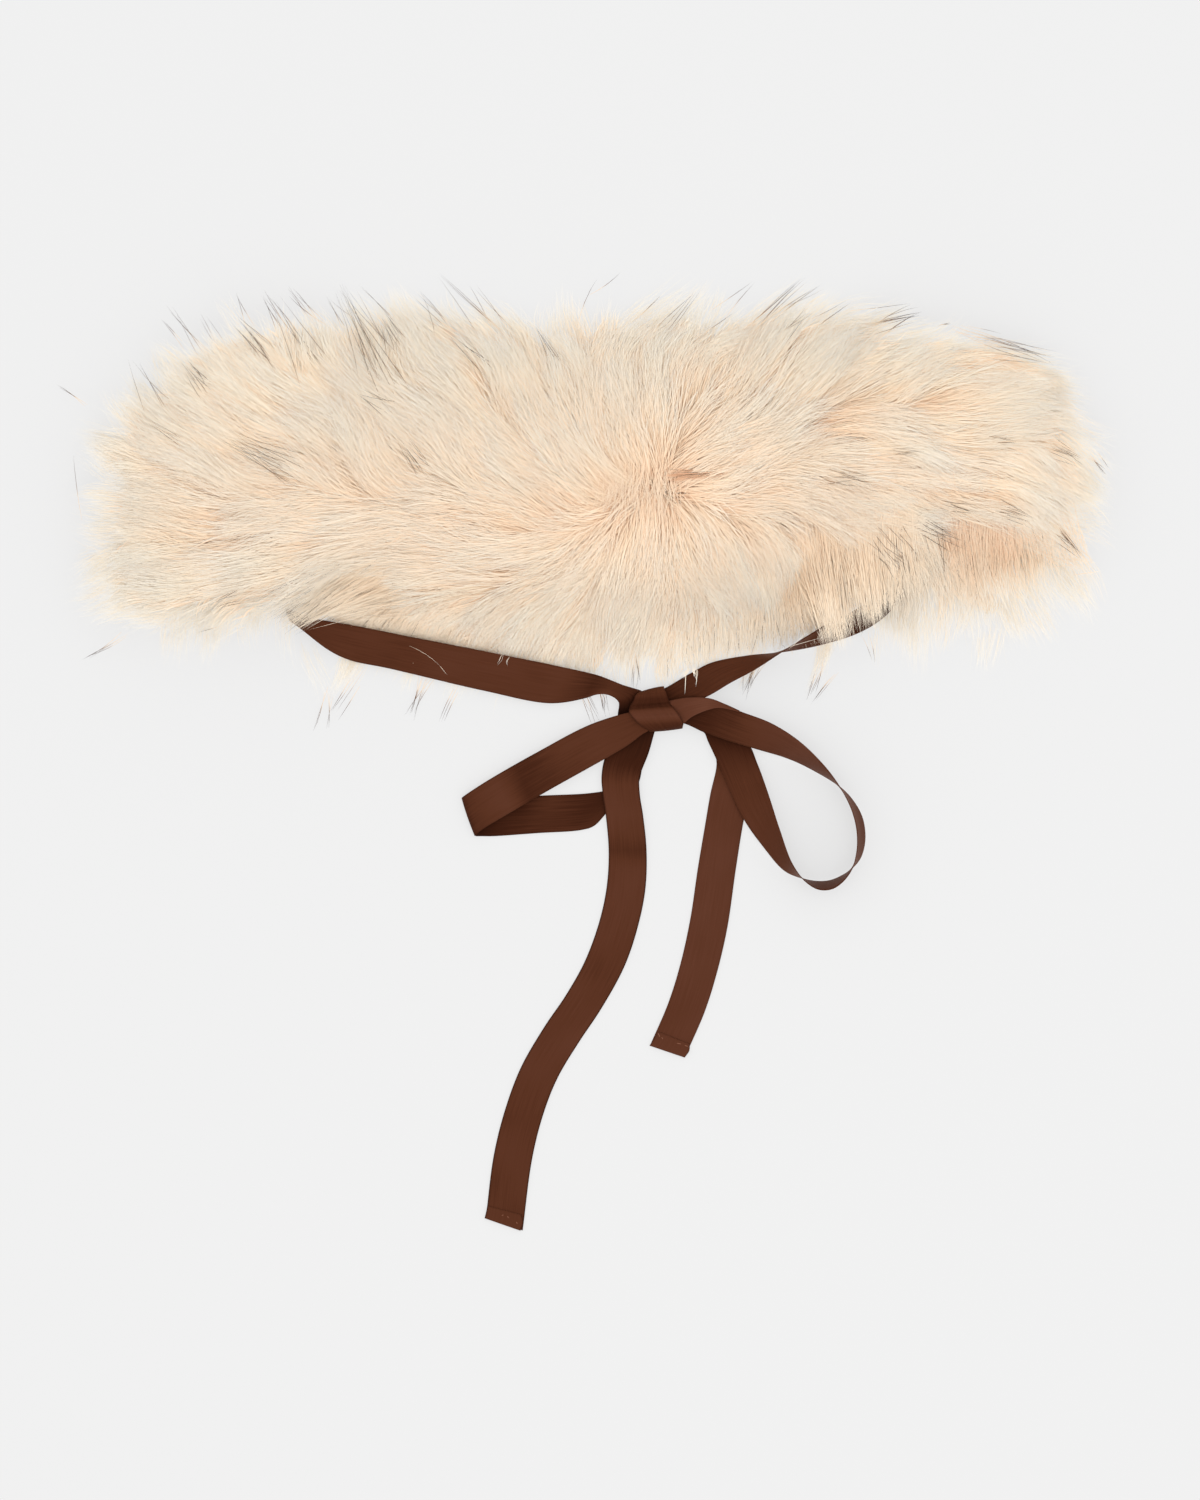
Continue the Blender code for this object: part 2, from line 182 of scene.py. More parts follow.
table_material, tree, shader = start_material("opal_acrylic_light_table")
fill_inputs(tree, shader, {"Base Color": linear(TABLE_COLOUR), "Roughness": 0.9, "Specular IOR Level": 0.0,
                           "Emission Color": WHITE, "Emission Strength": TABLE_GLOW})
half = TABLE_SIDE / 2
table = bpy.data.objects.new("table", bpy.data.meshes.new("table"))
table.data.from_pydata([(x * half * MM, y * half * MM, 0.0) for x, y in ((-1, -1), (1, -1), (1, 1), (-1, 1))],
                       [], [(0, 1, 2, 3)])
table.data.materials.append(table_material)
scene.collection.objects.link(table)

world = bpy.data.worlds.new("white_studio")
world.use_nodes = True
fill_inputs(world.node_tree, world.node_tree.nodes["Background"], {"Color": WHITE, "Strength": DOME_STRENGTH})
scene.world = world

soft_box = bpy.data.objects.new("soft_box", bpy.data.lights.new("soft_box", "AREA"))
soft_box.data.shape = "SQUARE"
soft_box.data.size = SOFT_BOX_SIDE
soft_box.data.energy = SOFT_BOX_WATTS
soft_box.location = SOFT_BOX_PLACE
soft_box.rotation_euler = Vector(SOFT_BOX_PLACE).to_track_quat("Z", "Y").to_euler()
scene.collection.objects.link(soft_box)
print("light: dome", DOME_STRENGTH, "and a soft box of", SOFT_BOX_WATTS, "W")

# %% [markdown]
# ## Reading the pile's form from the solids
# The fur solids say how high the pile stands and how far its tips reach. Rays shot down and up through a solid
# on a 4 mm grid give its top and its underside. The tufts raised in the solid are then smoothed away, because
# the hair will make them again, and the values are carried on a little past the outline, sinking, for the
# tips that reach over it.

# %% Height of each fur layer, and the distance to its outline
GRID = 4.0
GRID_X = np.arange(-312.0, 313.0, GRID)
GRID_Y = np.arange(-40.0, 301.0, GRID)
SINK = 0.80  # what is left of the height one grid step further out
REACH_STEPS = 9  # how many grid steps the values are carried past the outline
SMOOTHING = 2  # how many times the top is blended with its neighbours
ABOVE, BELOW = 200.0, -50.0  # where the rays start
NEIGHBOURS = 9  # a grid point and the eight round it


def mean_of_known(values, known):
    """Mean over each point's 3 x 3 neighbours, counting only the known ones, and how many there are."""
    padded = np.pad(np.where(known, values, 0.0), 1)
    counted = np.pad(known.astype(float), 1)
    rows, columns = values.shape
    total = sum(padded[j : j + rows, i : i + columns] for j in range(3) for i in range(3))
    number = sum(counted[j : j + rows, i : i + columns] for j in range(3) for i in range(3))
    return total / np.maximum(number, 1.0), number


def read_form(node_name):
    """Grids of a solid's top, its underside, and the signed distance to its outline, positive inside."""
    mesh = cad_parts[node_name].data
    corners = [v.co / MM for v in mesh.vertices]
    tree = BVHTree.FromPolygons(corners, [tuple(p.vertices) for p in mesh.polygons])
    top = np.zeros((len(GRID_Y), len(GRID_X)))
    low = np.zeros_like(top)
    inside = np.zeros(top.shape, bool)
    for j, y in enumerate(GRID_Y):
        for i, x in enumerate(GRID_X):
            hit = tree.ray_cast(Vector((x, y, ABOVE)), Vector((0, 0, -1)))[0]
            if hit is not None:
                inside[j, i] = True
                top[j, i] = hit.z
                low[j, i] = tree.ray_cast(Vector((x, y, BELOW)), Vector((0, 0, 1)))[0].z
    grid_x, grid_y = np.meshgrid(GRID_X, GRID_Y)
    edge = np.zeros_like(top)
    for mask, sign in ((inside, 1.0), (~inside, -1.0)):
        _, number = mean_of_known(top, mask)
        rim = mask & (number < NEIGHBOURS)
        far = np.min(np.hypot(grid_x[..., None] - grid_x[rim], grid_y[..., None] - grid_y[rim]), axis=-1)
        edge = np.where(~mask, edge - sign * (far - GRID / 2), edge)
    for _ in range(SMOOTHING):
        top = np.where(inside, mean_of_known(top, inside)[0], top)
    known = inside.copy()
    for _ in range(REACH_STEPS):
        for grid in (top, low):
            mean, number = mean_of_known(grid, known)
            grid[:] = np.where(~known & (number > 0), mean * SINK, grid)
        known |= number > 0
    return {"top": top, "low": low, "edge": edge, "inside": inside}


def sample(grid, x, y):
    """Values of a grid at any places, blended between its four nearest points."""
    u = np.clip((x - GRID_X[0]) / GRID, 0, len(GRID_X) - 1.001)
    v = np.clip((y - GRID_Y[0]) / GRID, 0, len(GRID_Y) - 1.001)
    i, j = u.astype(int), v.astype(int)
    fu, fv = u - i, v - j
    lower = grid[j, i] * (1 - fu) + grid[j, i + 1] * fu
    upper = grid[j + 1, i] * (1 - fu) + grid[j + 1, i + 1] * fu
    return lower * (1 - fv) + upper * fv


forms = {name: read_form(name) for name in ("fur_back", "fur_end_left", "fur_end_right")}
for name, form in forms.items():
    area = form["inside"].sum() * GRID**2 / 100
    print(name, "covers", round(area), "cm2 and stands", round(form["top"].max(), 1), "mm high")

# %% [markdown]
# ## The fibre: dyed modacrylic long pile
# Faux fur of this kind is modacrylic sliver knitted into a backing. The fibres are dyed pale cream, are peach
# where they come out of the knit, and bleach out towards the tip. The deep peach at the root is partly that
# colour and partly painted shade deep in the pile, and the near-white at the tip is partly the bleaching and
# partly painted light shining through the thin ends. A few coarse guard hairs are tip-printed in dark brown.
# Every strand carries a small strip of one map: up it runs from root to tip, and across it chooses the dye lot,
# with painted light on raised tufts and painted shade in the partings added to it. The colour is read from
# that map alone, so that thousands of strands can share it.

# %% Fibre material
FIBRE_IOR = 1.52
PEACHIEST = 0.85  # the place across the map where the dye lot is all peach
GUARD_FROM = 0.90  # strands right of this place in the map are guard hairs
# Root to tip: the first stops are partly the fibre's colour and partly painted shade deep in the pile, and the
# last stops are partly its colour and partly painted light through the thin tips.
CREAM = [(0.0, "EEC39D"), (0.20, "F6D9B7"), (0.50, "F9E4C7"), (0.85, "F5ECDB"), (1.0, "F1EFEA")]
PEACH = [(0.0, "E4AC84"), (0.25, "F1C9A6"), (0.60, "F7DABB"), (1.0, "F7E7D1")]
GUARD = [(0.0, "F4D5B6"), (0.35, "EBD3B6"), (0.48, "8E6B4E"), (0.62, "553827"), (1.0, "2A1E17")]

fibre, tree, shader = start_material("modacrylic_long_pile")
fibre_map = add_node(tree, "ShaderNodeUVMap", uv_map="OFBake")
place = add_node(tree, "ShaderNodeSeparateXYZ", {"Vector": fibre_map.outputs["UV"]})
cream, peach, guard = (add_node(tree, "ShaderNodeValToRGB", {"Fac": place.outputs["Y"]}) for _ in range(3))
for ramp, stops in ((cream, CREAM), (peach, PEACH), (guard, GUARD)):
    fill_ramp(ramp.color_ramp, stops)
tone = add_node(tree, "ShaderNodeMapRange", {"Value": place.outputs["X"], "From Min": 0.0,
                                             "From Max": PEACHIEST})
body = add_node(tree, "ShaderNodeMix", {"Factor": tone.outputs["Result"], "A": cream.outputs["Color"],
                                        "B": peach.outputs["Color"]}, data_type="RGBA")
is_guard = add_node(tree, "ShaderNodeMath", {0: place.outputs["X"], 1: GUARD_FROM}, operation="GREATER_THAN")
mixed = add_node(tree, "ShaderNodeMix", {"Factor": is_guard.outputs["Value"], "A": body.outputs["Result"],
                                         "B": guard.outputs["Color"]}, data_type="RGBA")
fill_inputs(tree, shader, {"Base Color": mixed.outputs["Result"], "IOR": FIBRE_IOR, "Roughness": 0.55,
                           "Specular IOR Level": 0.18, "Sheen Weight": 0.12, "Sheen Roughness": 0.5})
print("fibre material:", fibre.name, "with", len(tree.nodes), "nodes")

# %% [markdown]
# ## Combing charts
# Hair grooming starts with arrows: at each marked place, the way the pile lies there. Between the marks the
# direction is blended, each mark pulling by one over its distance to the fourth power. The back's chart has a
# parting along the middle of its left half and a crown near (28, 135), from which the pile leaves all round.
# Its marks are in the frame's pixels. The other charts and spots are in millimetres.

# %% Combing charts: x, y, and the direction in degrees
MARKS_BACK = [
    (185, 345, 127), (250, 315, 130), (300, 330, 126), (370, 340, 118), (420, 320, 128), (475, 310, 136),
    (545, 340, 117), (575, 310, 95), (590, 290, 62), (655, 310, 50), (690, 315, 48), (740, 310, 42),
    (800, 320, 34), (870, 325, 25), (930, 335, 16), (1000, 350, -8), (1050, 385, -15), (1080, 430, -38),
    (1095, 470, -50), (1085, 520, -45), (110, 400, 150), (95, 450, 165), (90, 510, 178), (90, 560, 188),
    (100, 610, 200), (160, 435, 149), (230, 450, 150), (290, 440, 153), (350, 430, 140), (400, 450, 133),
    (455, 430, 132), (500, 460, 133), (560, 430, 122), (610, 430, 110), (650, 400, 90), (690, 410, 70),
    (740, 380, 62), (780, 430, 45), (840, 390, 42), (900, 390, 24), (960, 390, 12), (960, 440, -4),
    (1020, 420, -5), (1010, 480, -20), (200, 510, 172), (300, 505, 170), (420, 500, 160), (500, 505, 150),
    (560, 505, 145), (620, 480, 125), (650, 460, 90), (690, 470, 35), (740, 465, 25), (800, 455, 10),
    (860, 445, -5), (900, 450, -18), (150, 560, 190), (200, 590, 198), (280, 560, 196), (250, 620, 203),
    (330, 600, 210), (400, 560, 190), (400, 610, 196), (470, 560, 184), (480, 600, 190), (460, 640, 235),
    (380, 640, 240), (520, 630, 240), (540, 560, 195), (560, 600, 215), (590, 570, 225), (600, 640, 258),
    (620, 540, 235), (630, 600, 262), (650, 560, 268), (650, 520, 270), (660, 640, 270), (700, 560, 298),
    (690, 520, 315), (720, 600, 287), (700, 650, 278), (760, 560, 310), (760, 600, 292), (800, 600, 283),
    (790, 640, 280), (850, 560, 318), (840, 600, 295), (870, 590, 310), (900, 520, 335), (950, 520, 335),
    (940, 545, 328), (1030, 530, 330), (1070, 545, 325),
]
COMB_BACK = [(*map(round, on_table(x, y)), direction) for x, y, direction in MARKS_BACK]
COMB_LEFT = [
    (-150, 60, 275), (-142, 45, 285), (-170, 70, 262), (-200, 75, 258), (-230, 75, 240), (-250, 90, 215),
    (-252, 120, 185), (-252, 160, 165), (-240, 190, 130), (-205, 200, 95), (-175, 190, 70),
    (-206, 130, 180),
]
COMB_RIGHT = [
    (160, 75, 262), (180, 75, 266), (205, 75, 275), (228, 80, 288), (248, 90, 310), (256, 125, 0),
    (245, 165, 30), (205, 195, 90), (165, 180, 110), (206, 125, 280), (180, 105, 268), (215, 105, 285),
]
COMB_SOFTEN = 10.0  # a mark nearer than this pulls no harder
WOBBLE = 0.20  # radians by which the pile strays from the comb, in waves of a few centimetres
PARTING = [  # x, y, radius: circles along the parting and round the crown
    (-130, 129, 18), (-105, 131, 20), (-80, 132, 22), (-55, 133, 24), (-30, 131, 26), (-5, 133, 30),
    (28, 136, 42), (66, 140, 26),
]
TONES = [  # x, y, radius, and how much more of the peach end of the map there is: partly the pile's own tone, and painted shade in the partings and creases
    (28, 136, 36, 0.07), (85, 140, 30, 0.08), (-60, 130, 60, 0.10), (-120, 110, 50, 0.10),
    (-195, 125, 30, 0.10), (150, 130, 40, 0.10), (195, 122, 26, 0.25), (-100, 215, 60, -0.15),
    (-200, 190, 60, -0.15), (30, 220, 80, -0.12), (190, 205, 60, -0.15), (110, 100, 40, 0.05),
    (-20, 60, 50, -0.05), (-220, 80, 40, -0.12), (-210, 142, 15, 0.15), (-174, 125, 16, 0.15),
    (-112, 112, 14, 0.15), (50, 146, 9, 0.3), (-22, 122, 12, 0.1),
]
CALM = [  # x, y, radius, and how far the strands are raised to the surface, which closes the parting
    (28, 136, 30, 0.8), (62, 142, 24, 0.5), (-8, 133, 26, 0.55), (-42, 130, 26, 0.5), (-80, 131, 26, 0.4),
    (-118, 130, 26, 0.3), (-8, 114, 20, 0.3), (-56, 87, 22, 0.5), (36, 142, 12, 0.4),
]
TRIM_BACK = [  # x, y, radius, and by how many millimetres the pile stops short there, or reaches further (-)
    (-222, 212, 26, 8), (-236, 206, 14, 7), (-190, 232, 26, 5), (-150, 241, 30, 5), (-108, 245, 28, 7),
    (-72, 245, 20, 5), (38, 242, 14, 7), (58, 242, 14, 5), (100, 240, 16, 4), (185, 222, 26, 4),
    (200, 117, 9, 9), (244, 194, 16, -14), (258, 116, 16, 6), (-262, 140, 34, 6), (215, 113, 9, 8),
    (192, 107, 7, 5),
]
TRIM_ENDS = [
    (-252, 70, 20, 17), (-212, 66, 22, 5), (-160, 60, 24, 8), (-262, 140, 34, 6), (236, 86, 20, 9),
    (256, 106, 20, 8), (190, 62, 14, 12),
]


def comb(places, chart):
    """The direction of the pile, in radians, at each of the places."""
    marks = np.array(chart, float)
    angles = np.radians(marks[:, 2])
    gap = places[..., None, :] - marks[:, :2]
    pull = 1.0 / ((gap**2).sum(-1) + COMB_SOFTEN**2) ** 2
    x, y = places[..., 0], places[..., 1]
    wobble = WOBBLE * np.sin(x / 14 + y / 23) * np.cos(y / 11 - x / 31)
    return np.arctan2((pull * np.sin(angles)).sum(-1), (pull * np.cos(angles)).sum(-1)) + wobble


def spots_at(spots, x, y):
    """The sum of soft round spots, each x, y, radius and amount, at the places."""
    return sum(amount * np.exp(-((x - middle_x) ** 2 + (y - middle_y) ** 2) / radius**2)
               for middle_x, middle_y, radius, amount in spots)


print("marks on the combing charts:", len(COMB_BACK), len(COMB_LEFT), len(COMB_RIGHT))

# %% [markdown]
# ## Growing the pile
# Hair could be Blender's own curves, but those don't export, so each strand is a thin tapered strip of mesh.
# Long pile never lies as single hairs: static and finger-combing gather it in locks, and the locks in tufts.
# So locks are grown first. Each one starts at a root, follows the comb, leans towards the middle of its tuft,
# and is cut where it would pass the outline by more than its overhang. Then its strands leave round that root
# and close in on the lock's tip. A strand starts deep in the pile and comes up to its surface, which lays
# every lock over the roots of the next, like shingles.

# %% Locks
SEGMENTS = 4  # of a strand, from root to tip
ALONG = np.linspace(0.0, 1.0, SEGMENTS + 1)
ARCH = 4 * ALONG * (1 - ALONG)  # how a bow rises and falls from root to tip
SHAKE = 0.45  # how far a place on a grid is shaken, as a share of the spacing
TUFT_SPACING = 23.0
TUFT_BEND = 11.0  # degrees that a tuft bends from root to tip, either way
TUFT_LENGTHS = (0.88, 1.10)
TUFT_PULL = (0.30, 0.62)  # how far the locks of a tuft have closed in at their tips
TUFT_SWELL = (-1.0, 0.5)
SWELL = 0.07  # how much higher or lower than its neighbours a tuft stands, as a share of the height
TUFT_OVER = 0.45  # the share of the overhang that the locks of a tuft have in common
LOCK_BEND = 6.0  # degrees
LOCK_LENGTHS = (0.88, 1.08)
SHORTEST = 0.3  # a lock that the outline cuts to less than this share is left out
EVERYWHERE = 999.0  # an inset with no inner limit


class Coat(NamedTuple):
    """One coat of the pile: its locks, then the strands round each of them. Lengths are in millimetres."""

    name: str
    spacing: float
    length: float
    overhang: tuple  # how far tips pass the outline, from and to
    inset: tuple  # how far inside the outline roots are, from and to
    hairs: int  # strands of a lock
    radius: float  # of the ring of roots round a lock's line
    heights: Callable  # gives where in the pile's depth strands start and end
    widths: tuple
    starts: tuple  # where in the fibre's map strands start
    closing: tuple = (0.3, 0.7)  # how far strands close in on the lock's tip
    shade: float = 0.36  # 0 is the cream dye lot
    splay: float = 5.0  # degrees
    near: list | None = None  # circles that the roots stay within


def trace(roots, lengths, bends, chart):
    """The line that each lock follows in plan."""
    points = [roots]
    for k in range(SEGMENTS):
        angle = comb(points[-1], chart) + bends * (k + 0.5) / SEGMENTS
        step = (lengths / SEGMENTS)[:, None] * np.stack([np.cos(angle), np.sin(angle)], axis=-1)
        points.append(points[-1] + step)
    return np.stack(points, axis=1)


def shaken_grid(spacing, rng):
    """Places on a triangular grid over the whole collar, each shaken a little."""
    xs = np.arange(GRID_X[0], GRID_X[-1], spacing)
    ys = np.arange(GRID_Y[0], GRID_Y[-1], spacing * math.sqrt(3) / 2)
    x, y = np.meshgrid(xs, ys)
    x = x + (np.arange(len(ys)) % 2)[:, None] * spacing / 2
    return np.stack([x.ravel(), y.ravel()], axis=-1) + rng.uniform(-SHAKE, SHAKE, (x.size, 2)) * spacing


def gather_tufts(rng):
    """The tufts: their middles, how they bend, close in, swell and reach past the outline."""
    middles = shaken_grid(TUFT_SPACING, rng)
    count = len(middles)
    return {"middle": middles, "bend": np.radians(rng.normal(0, TUFT_BEND, count)),
            "pull": rng.uniform(*TUFT_PULL, count), "swell": rng.uniform(*TUFT_SWELL, count),
            "over": rng.random(count), "length": rng.uniform(*TUFT_LENGTHS, count)}


def plant_locks(form, chart, tufts, coat, trims, rng):
    """A coat's locks on a shaken grid, as their lines in plan and the swell of their tufts."""
    roots = shaken_grid(coat.spacing, rng)
    edge = sample(form["edge"], roots[:, 0], roots[:, 1])
    chosen = (edge > coat.inset[0]) & (edge < coat.inset[1])
    if coat.near is not None:
        circles = np.array(coat.near, float)
        gaps = np.hypot(roots[:, None, 0] - circles[:, 0], roots[:, None, 1] - circles[:, 1])
        chosen &= (gaps < circles[:, 2]).any(axis=1)
    roots = roots[chosen]
    gaps = np.hypot(roots[:, None, 0] - tufts["middle"][:, 0], roots[:, None, 1] - tufts["middle"][:, 1])
    tuft = np.argmin(gaps, axis=1)
    bends = tufts["bend"][tuft] + np.radians(rng.normal(0.0, LOCK_BEND, len(roots)))
    apart = comb(roots, chart) - comb(tufts["middle"][tuft], chart)
    agree = np.clip(np.cos(apart), 0, 1) ** 3  # locks on two sides of a parting don't share a tuft
    pull = (agree * tufts["pull"][tuft])[:, None, None] * (ALONG**1.5)[:, None]
    own_over = rng.random(len(roots))
    low, high = coat.overhang
    over = low + (high - low) * (TUFT_OVER * tufts["over"][tuft] + (1 - TUFT_OVER) * own_over)
    lengths = coat.length * tufts["length"][tuft] * rng.uniform(*LOCK_LENGTHS, len(roots))

    def lay(lengths):
        own = trace(roots, lengths, bends, chart)
        shared = trace(tufts["middle"][tuft], lengths, tufts["bend"][tuft], chart)
        return own + (shared - own) * pull

    lines = lay(lengths)
    past = -sample(form["edge"], lines[..., 0], lines[..., 1]) - over[:, None]
    past = past + spots_at(trims, lines[..., 0], lines[..., 1])
    share = np.ones(len(roots))
    for k in range(SEGMENTS, 0, -1):
        crosses = (past[:, k] > 0) & (past[:, k - 1] <= 0)
        part = -past[:, k - 1] / np.maximum(past[:, k] - past[:, k - 1], 1e-6)
        share = np.where(crosses, (k - 1 + part) / SEGMENTS, share)
    keep = (share > SHORTEST) & (past[:, 0] < 0)
    return lay(lengths * share)[keep], tufts["swell"][tuft][keep]


# %% Strands
TAPER = np.array([0.4, 1.0, 0.95, 0.65, 0.0])  # width along a strand, as a share of its widest
MAP_STRIP = 0.012  # how wide a strand is in the fibre's map
WHOLE_MAP = (0.0, 1.0)
SOFTENING = 0.80  # how far a strand's normals lean towards the pile's surface
ROLL = math.radians(40)
STRAND_REACH = (0.70, 1.08)  # where along its lock's line a strand ends
RISE_POWER = 2.4  # a strand comes up quickly at first, and then lies
CALM_LEVELS = (0.90, 0.96)  # the least that strands start and end at in the calm spots
LOFT = 1.5  # how far locks stand off one another at their tips
UNEVEN = 0.35  # and the strands of a lock
OVER_TABLE = 0.35
# A tuft that stands out is painted paler, as if lit, and a sunken one peachier, as if in shade.
SWELL_PAINTED_LIGHT = 0.13  # a tuft that stands out is paler
LOCK_TONE, STRAND_TONE = 0.10, 0.08  # how much the dye lot strays


def strands_of(locks, form, coat, rng):
    """Strands round each lock's line: their points in space and their place between the dye lots."""
    lines, swell = locks
    count, hairs = len(lines), coat.hairs
    ring = np.sqrt(rng.uniform(0, 1, (count, hairs))) * coat.radius
    turn = rng.uniform(0, math.tau, (count, hairs))
    root = np.stack([ring * np.cos(turn), ring * np.sin(turn)], axis=-1)
    closed = rng.uniform(*coat.closing, (count, 1, 1, 1)) * (ALONG**1.3)[None, None, :, None]
    reach = rng.uniform(*STRAND_REACH, (count, hairs))
    at = reach[..., None] * ALONG * SEGMENTS
    k = np.clip(at.astype(int), 0, SEGMENTS - 1)
    part = (at - k)[..., None]
    lock = np.arange(count)[:, None, None]
    middle = lines[lock, k] * (1 - part) + lines[lock, k + 1] * part
    ahead = lines[:, -1] - lines[:, 0]
    sideways = np.stack([-ahead[:, 1], ahead[:, 0]], axis=-1)[:, None, None, :]
    splay = np.radians(rng.normal(0.0, coat.splay, (count, hairs)))
    aside = splay[..., None, None] * (ALONG**2)[None, None, :, None]
    plan = middle + root[:, :, None, :] * (1 - closed) + sideways * aside
    top = sample(form["top"], plan[..., 0], plan[..., 1])
    low = sample(form["low"], plan[..., 0], plan[..., 1])
    start, finish = coat.heights(rng, count, hairs)
    calm = np.clip(spots_at(CALM, lines[:, 0, 0], lines[:, 0, 1]), 0.0, 1.0)[:, None]
    start = start + np.maximum(CALM_LEVELS[0] - start, 0.0) * calm
    finish = finish + np.maximum(CALM_LEVELS[1] - finish, 0.0) * calm
    swell = swell * (1 - calm[:, 0])
    rise = 1 - (1 - ALONG) ** RISE_POWER
    height = low + (top - low) * (start[..., None] + (finish - start)[..., None] * rise)
    height = height * (1 + SWELL * swell[:, None, None] * ALONG)
    loft = rng.uniform(0.0, LOFT, (count, 1, 1)) * ALONG**2
    height = height + loft + rng.normal(0, UNEVEN, (count, hairs, 1)) * ALONG
    points = np.concatenate([plan, np.maximum(height, OVER_TABLE)[..., None]], axis=-1)
    # The dye lot, with painted light on raised tufts, painted shade on sunken ones, and the TONES spots added
    # to it.
    shades = (coat.shade - SWELL_PAINTED_LIGHT * swell + spots_at(TONES, lines[:, 2, 0], lines[:, 2, 1]))[:, None]
    shades = shades + rng.normal(0, LOCK_TONE, (count, 1)) + rng.normal(0, STRAND_TONE, (count, hairs))
    return points.reshape(-1, SEGMENTS + 1, 3), np.clip(shades, 0.0, PEACHIEST).ravel()


def strand_piece(name, points, widths, rolls, shades, form, spans=None):
    """One mesh of tapered strips, each rolled a little about its own length. Their normals lean towards the
    pile's own surface, which shades them as the soft mass that they are part of. spans gives the part of the
    map, from root to tip, that each strand shows."""
    count, rows = len(points), SEGMENTS + 1
    ahead = unit(np.gradient(points, axis=1))
    side = unit(np.cross(ahead, (0.0, 0.0, 1.0)))
    lift = np.cross(side, ahead)
    across = side * np.cos(rolls)[:, None, None] + lift * np.sin(rolls)[:, None, None]
    half = across * (widths[:, None] * TAPER / 2)[..., None]
    per = 2 * rows - 1
    pairs = np.stack([points - half, points + half], axis=2).reshape(count, 2 * rows, 3)[:, :per]
    one = [(2 * k, 2 * k + 1, 2 * k + 3, 2 * k + 2) for k in range(SEGMENTS - 1)]
    one.append((per - 3, per - 2, per - 1))
    corners = np.array([c for face in one for c in face])
    sizes = np.array([len(face) for face in one])
    index = (np.arange(count)[:, None] * per + corners).ravel()
    first = np.concatenate([[0], np.cumsum(sizes)[:-1]])
    starts = (np.arange(count)[:, None] * len(corners) + first).ravel()
    mesh = bpy.data.meshes.new(name)
    mesh.vertices.add(count * per)
    mesh.vertices.foreach_set("co", (pairs * MM).astype(np.float32).ravel())
    mesh.loops.add(len(index))
    mesh.loops.foreach_set("vertex_index", index.astype(np.int32))
    mesh.polygons.add(len(starts))
    mesh.polygons.foreach_set("loop_start", starts.astype(np.int32))
    mesh.update(calc_edges=True)
    fibre_place = mesh.uv_layers.new(name="OFBake")
    across_map = shades[:, None] + np.where(corners % 2 == 1, MAP_STRIP, 0.0)[None, :]
    spans = np.array([WHOLE_MAP] * count) if spans is None else spans
    up_map = spans[:, :1] + (spans[:, 1:] - spans[:, :1]) * ALONG[corners // 2]
    fibre_place.data.foreach_set("uv", np.stack([across_map, up_map], -1).astype(np.float32).ravel())
    mesh.shade_smooth()
    facing = unit(np.cross(across, ahead))
    slope_y, slope_x = np.gradient(form["top"], GRID)
    x, y = points[..., 0], points[..., 1]
    surface = unit(np.stack([-sample(slope_x, x, y), -sample(slope_y, x, y), np.ones_like(x)], axis=-1))
    normals = unit(facing * (1 - SOFTENING) + surface * SOFTENING)
    mesh.normals_split_custom_set_from_vertices(np.repeat(normals, 2, axis=1)[:, :per].reshape(-1, 3))
    print(name, ":", count, "strands,", count * (2 * (SEGMENTS - 1) + 1), "triangles")
    return place_piece(name, mesh, fibre)


# %% [markdown]
# ## The coats of the pile
# The real fibre is about 0.05 mm thick, and that many fine strands would be tens of millions. So the back has
# about 100,000 strands, 0.08 to 0.8 mm wide, in five coats: a coarse undercoat, the main coat, short locks that
# close the parting, a fine fringe past the outline, and long pale locks on top. Under each side of the back
# lies a folded end of the strip. Only its rim shows, and it has two coats that start just inside its outline.

# %% Pile of the back and of the folded ends
def shingled(deep):
    """Strands from deep in the pile up to its surface, apart from a share of the locks that stop lower."""
    def heights(rng, count, hairs):
        start = rng.uniform(0.58, 0.80, (count, hairs))
        surface = rng.uniform(0.90, 1.0, (count, 1)) + rng.normal(0, 0.015, (count, hairs))
        stops_lower = rng.random((count, 1)) < deep
        return start, np.where(stops_lower, rng.uniform(0.15, 0.80, (count, hairs)), surface)
    return heights


def layered(low, high, rise=(0.10, 0.25)):
    """Strands that lie within one layer of the pile."""
    def heights(rng, count, hairs):
        start = rng.uniform(low, high, (count, hairs))
        return start, start + rng.uniform(*rise, (count, hairs))
    return heights


def surfaced(rng, count, hairs):
    """Strands that lie on the surface nearly from root to tip."""
    start = rng.uniform(0.80, 0.90, (count, hairs))
    return start, rng.uniform(0.97, 1.03, (count, 1)) + rng.normal(0, 0.012, (count, hairs))


def map_spans(count, low, high, rng):
    """Each strand's part of the map, which starts somewhere from low to high and ends at the tip."""
    return np.stack([rng.uniform(low, high, count), np.ones(count)], axis=-1)


def grow_pile(form, chart, coats, trims, rng):
    """The strands of all the coats: their points, widths, rolls, dye lots and parts of the map."""
    tufts = gather_tufts(rng)
    grown = []
    for coat in coats:
        locks = plant_locks(form, chart, tufts, coat, trims, rng)
        grown.append(strands_of(locks, form, coat, rng))
        print(coat.name, ":", len(locks[0]), "locks,", len(grown[-1][0]), "strands")
    points, shades = (np.concatenate(parts) for parts in zip(*grown))
    counts = [len(coat_points) for coat_points, _ in grown]
    widths = np.concatenate([rng.uniform(*coat.widths, count) for coat, count in zip(coats, counts)])
    spans = np.concatenate([map_spans(count, *coat.starts, rng) for coat, count in zip(coats, counts)])
    return points, widths, rng.uniform(-ROLL, ROLL, len(points)), shades, spans


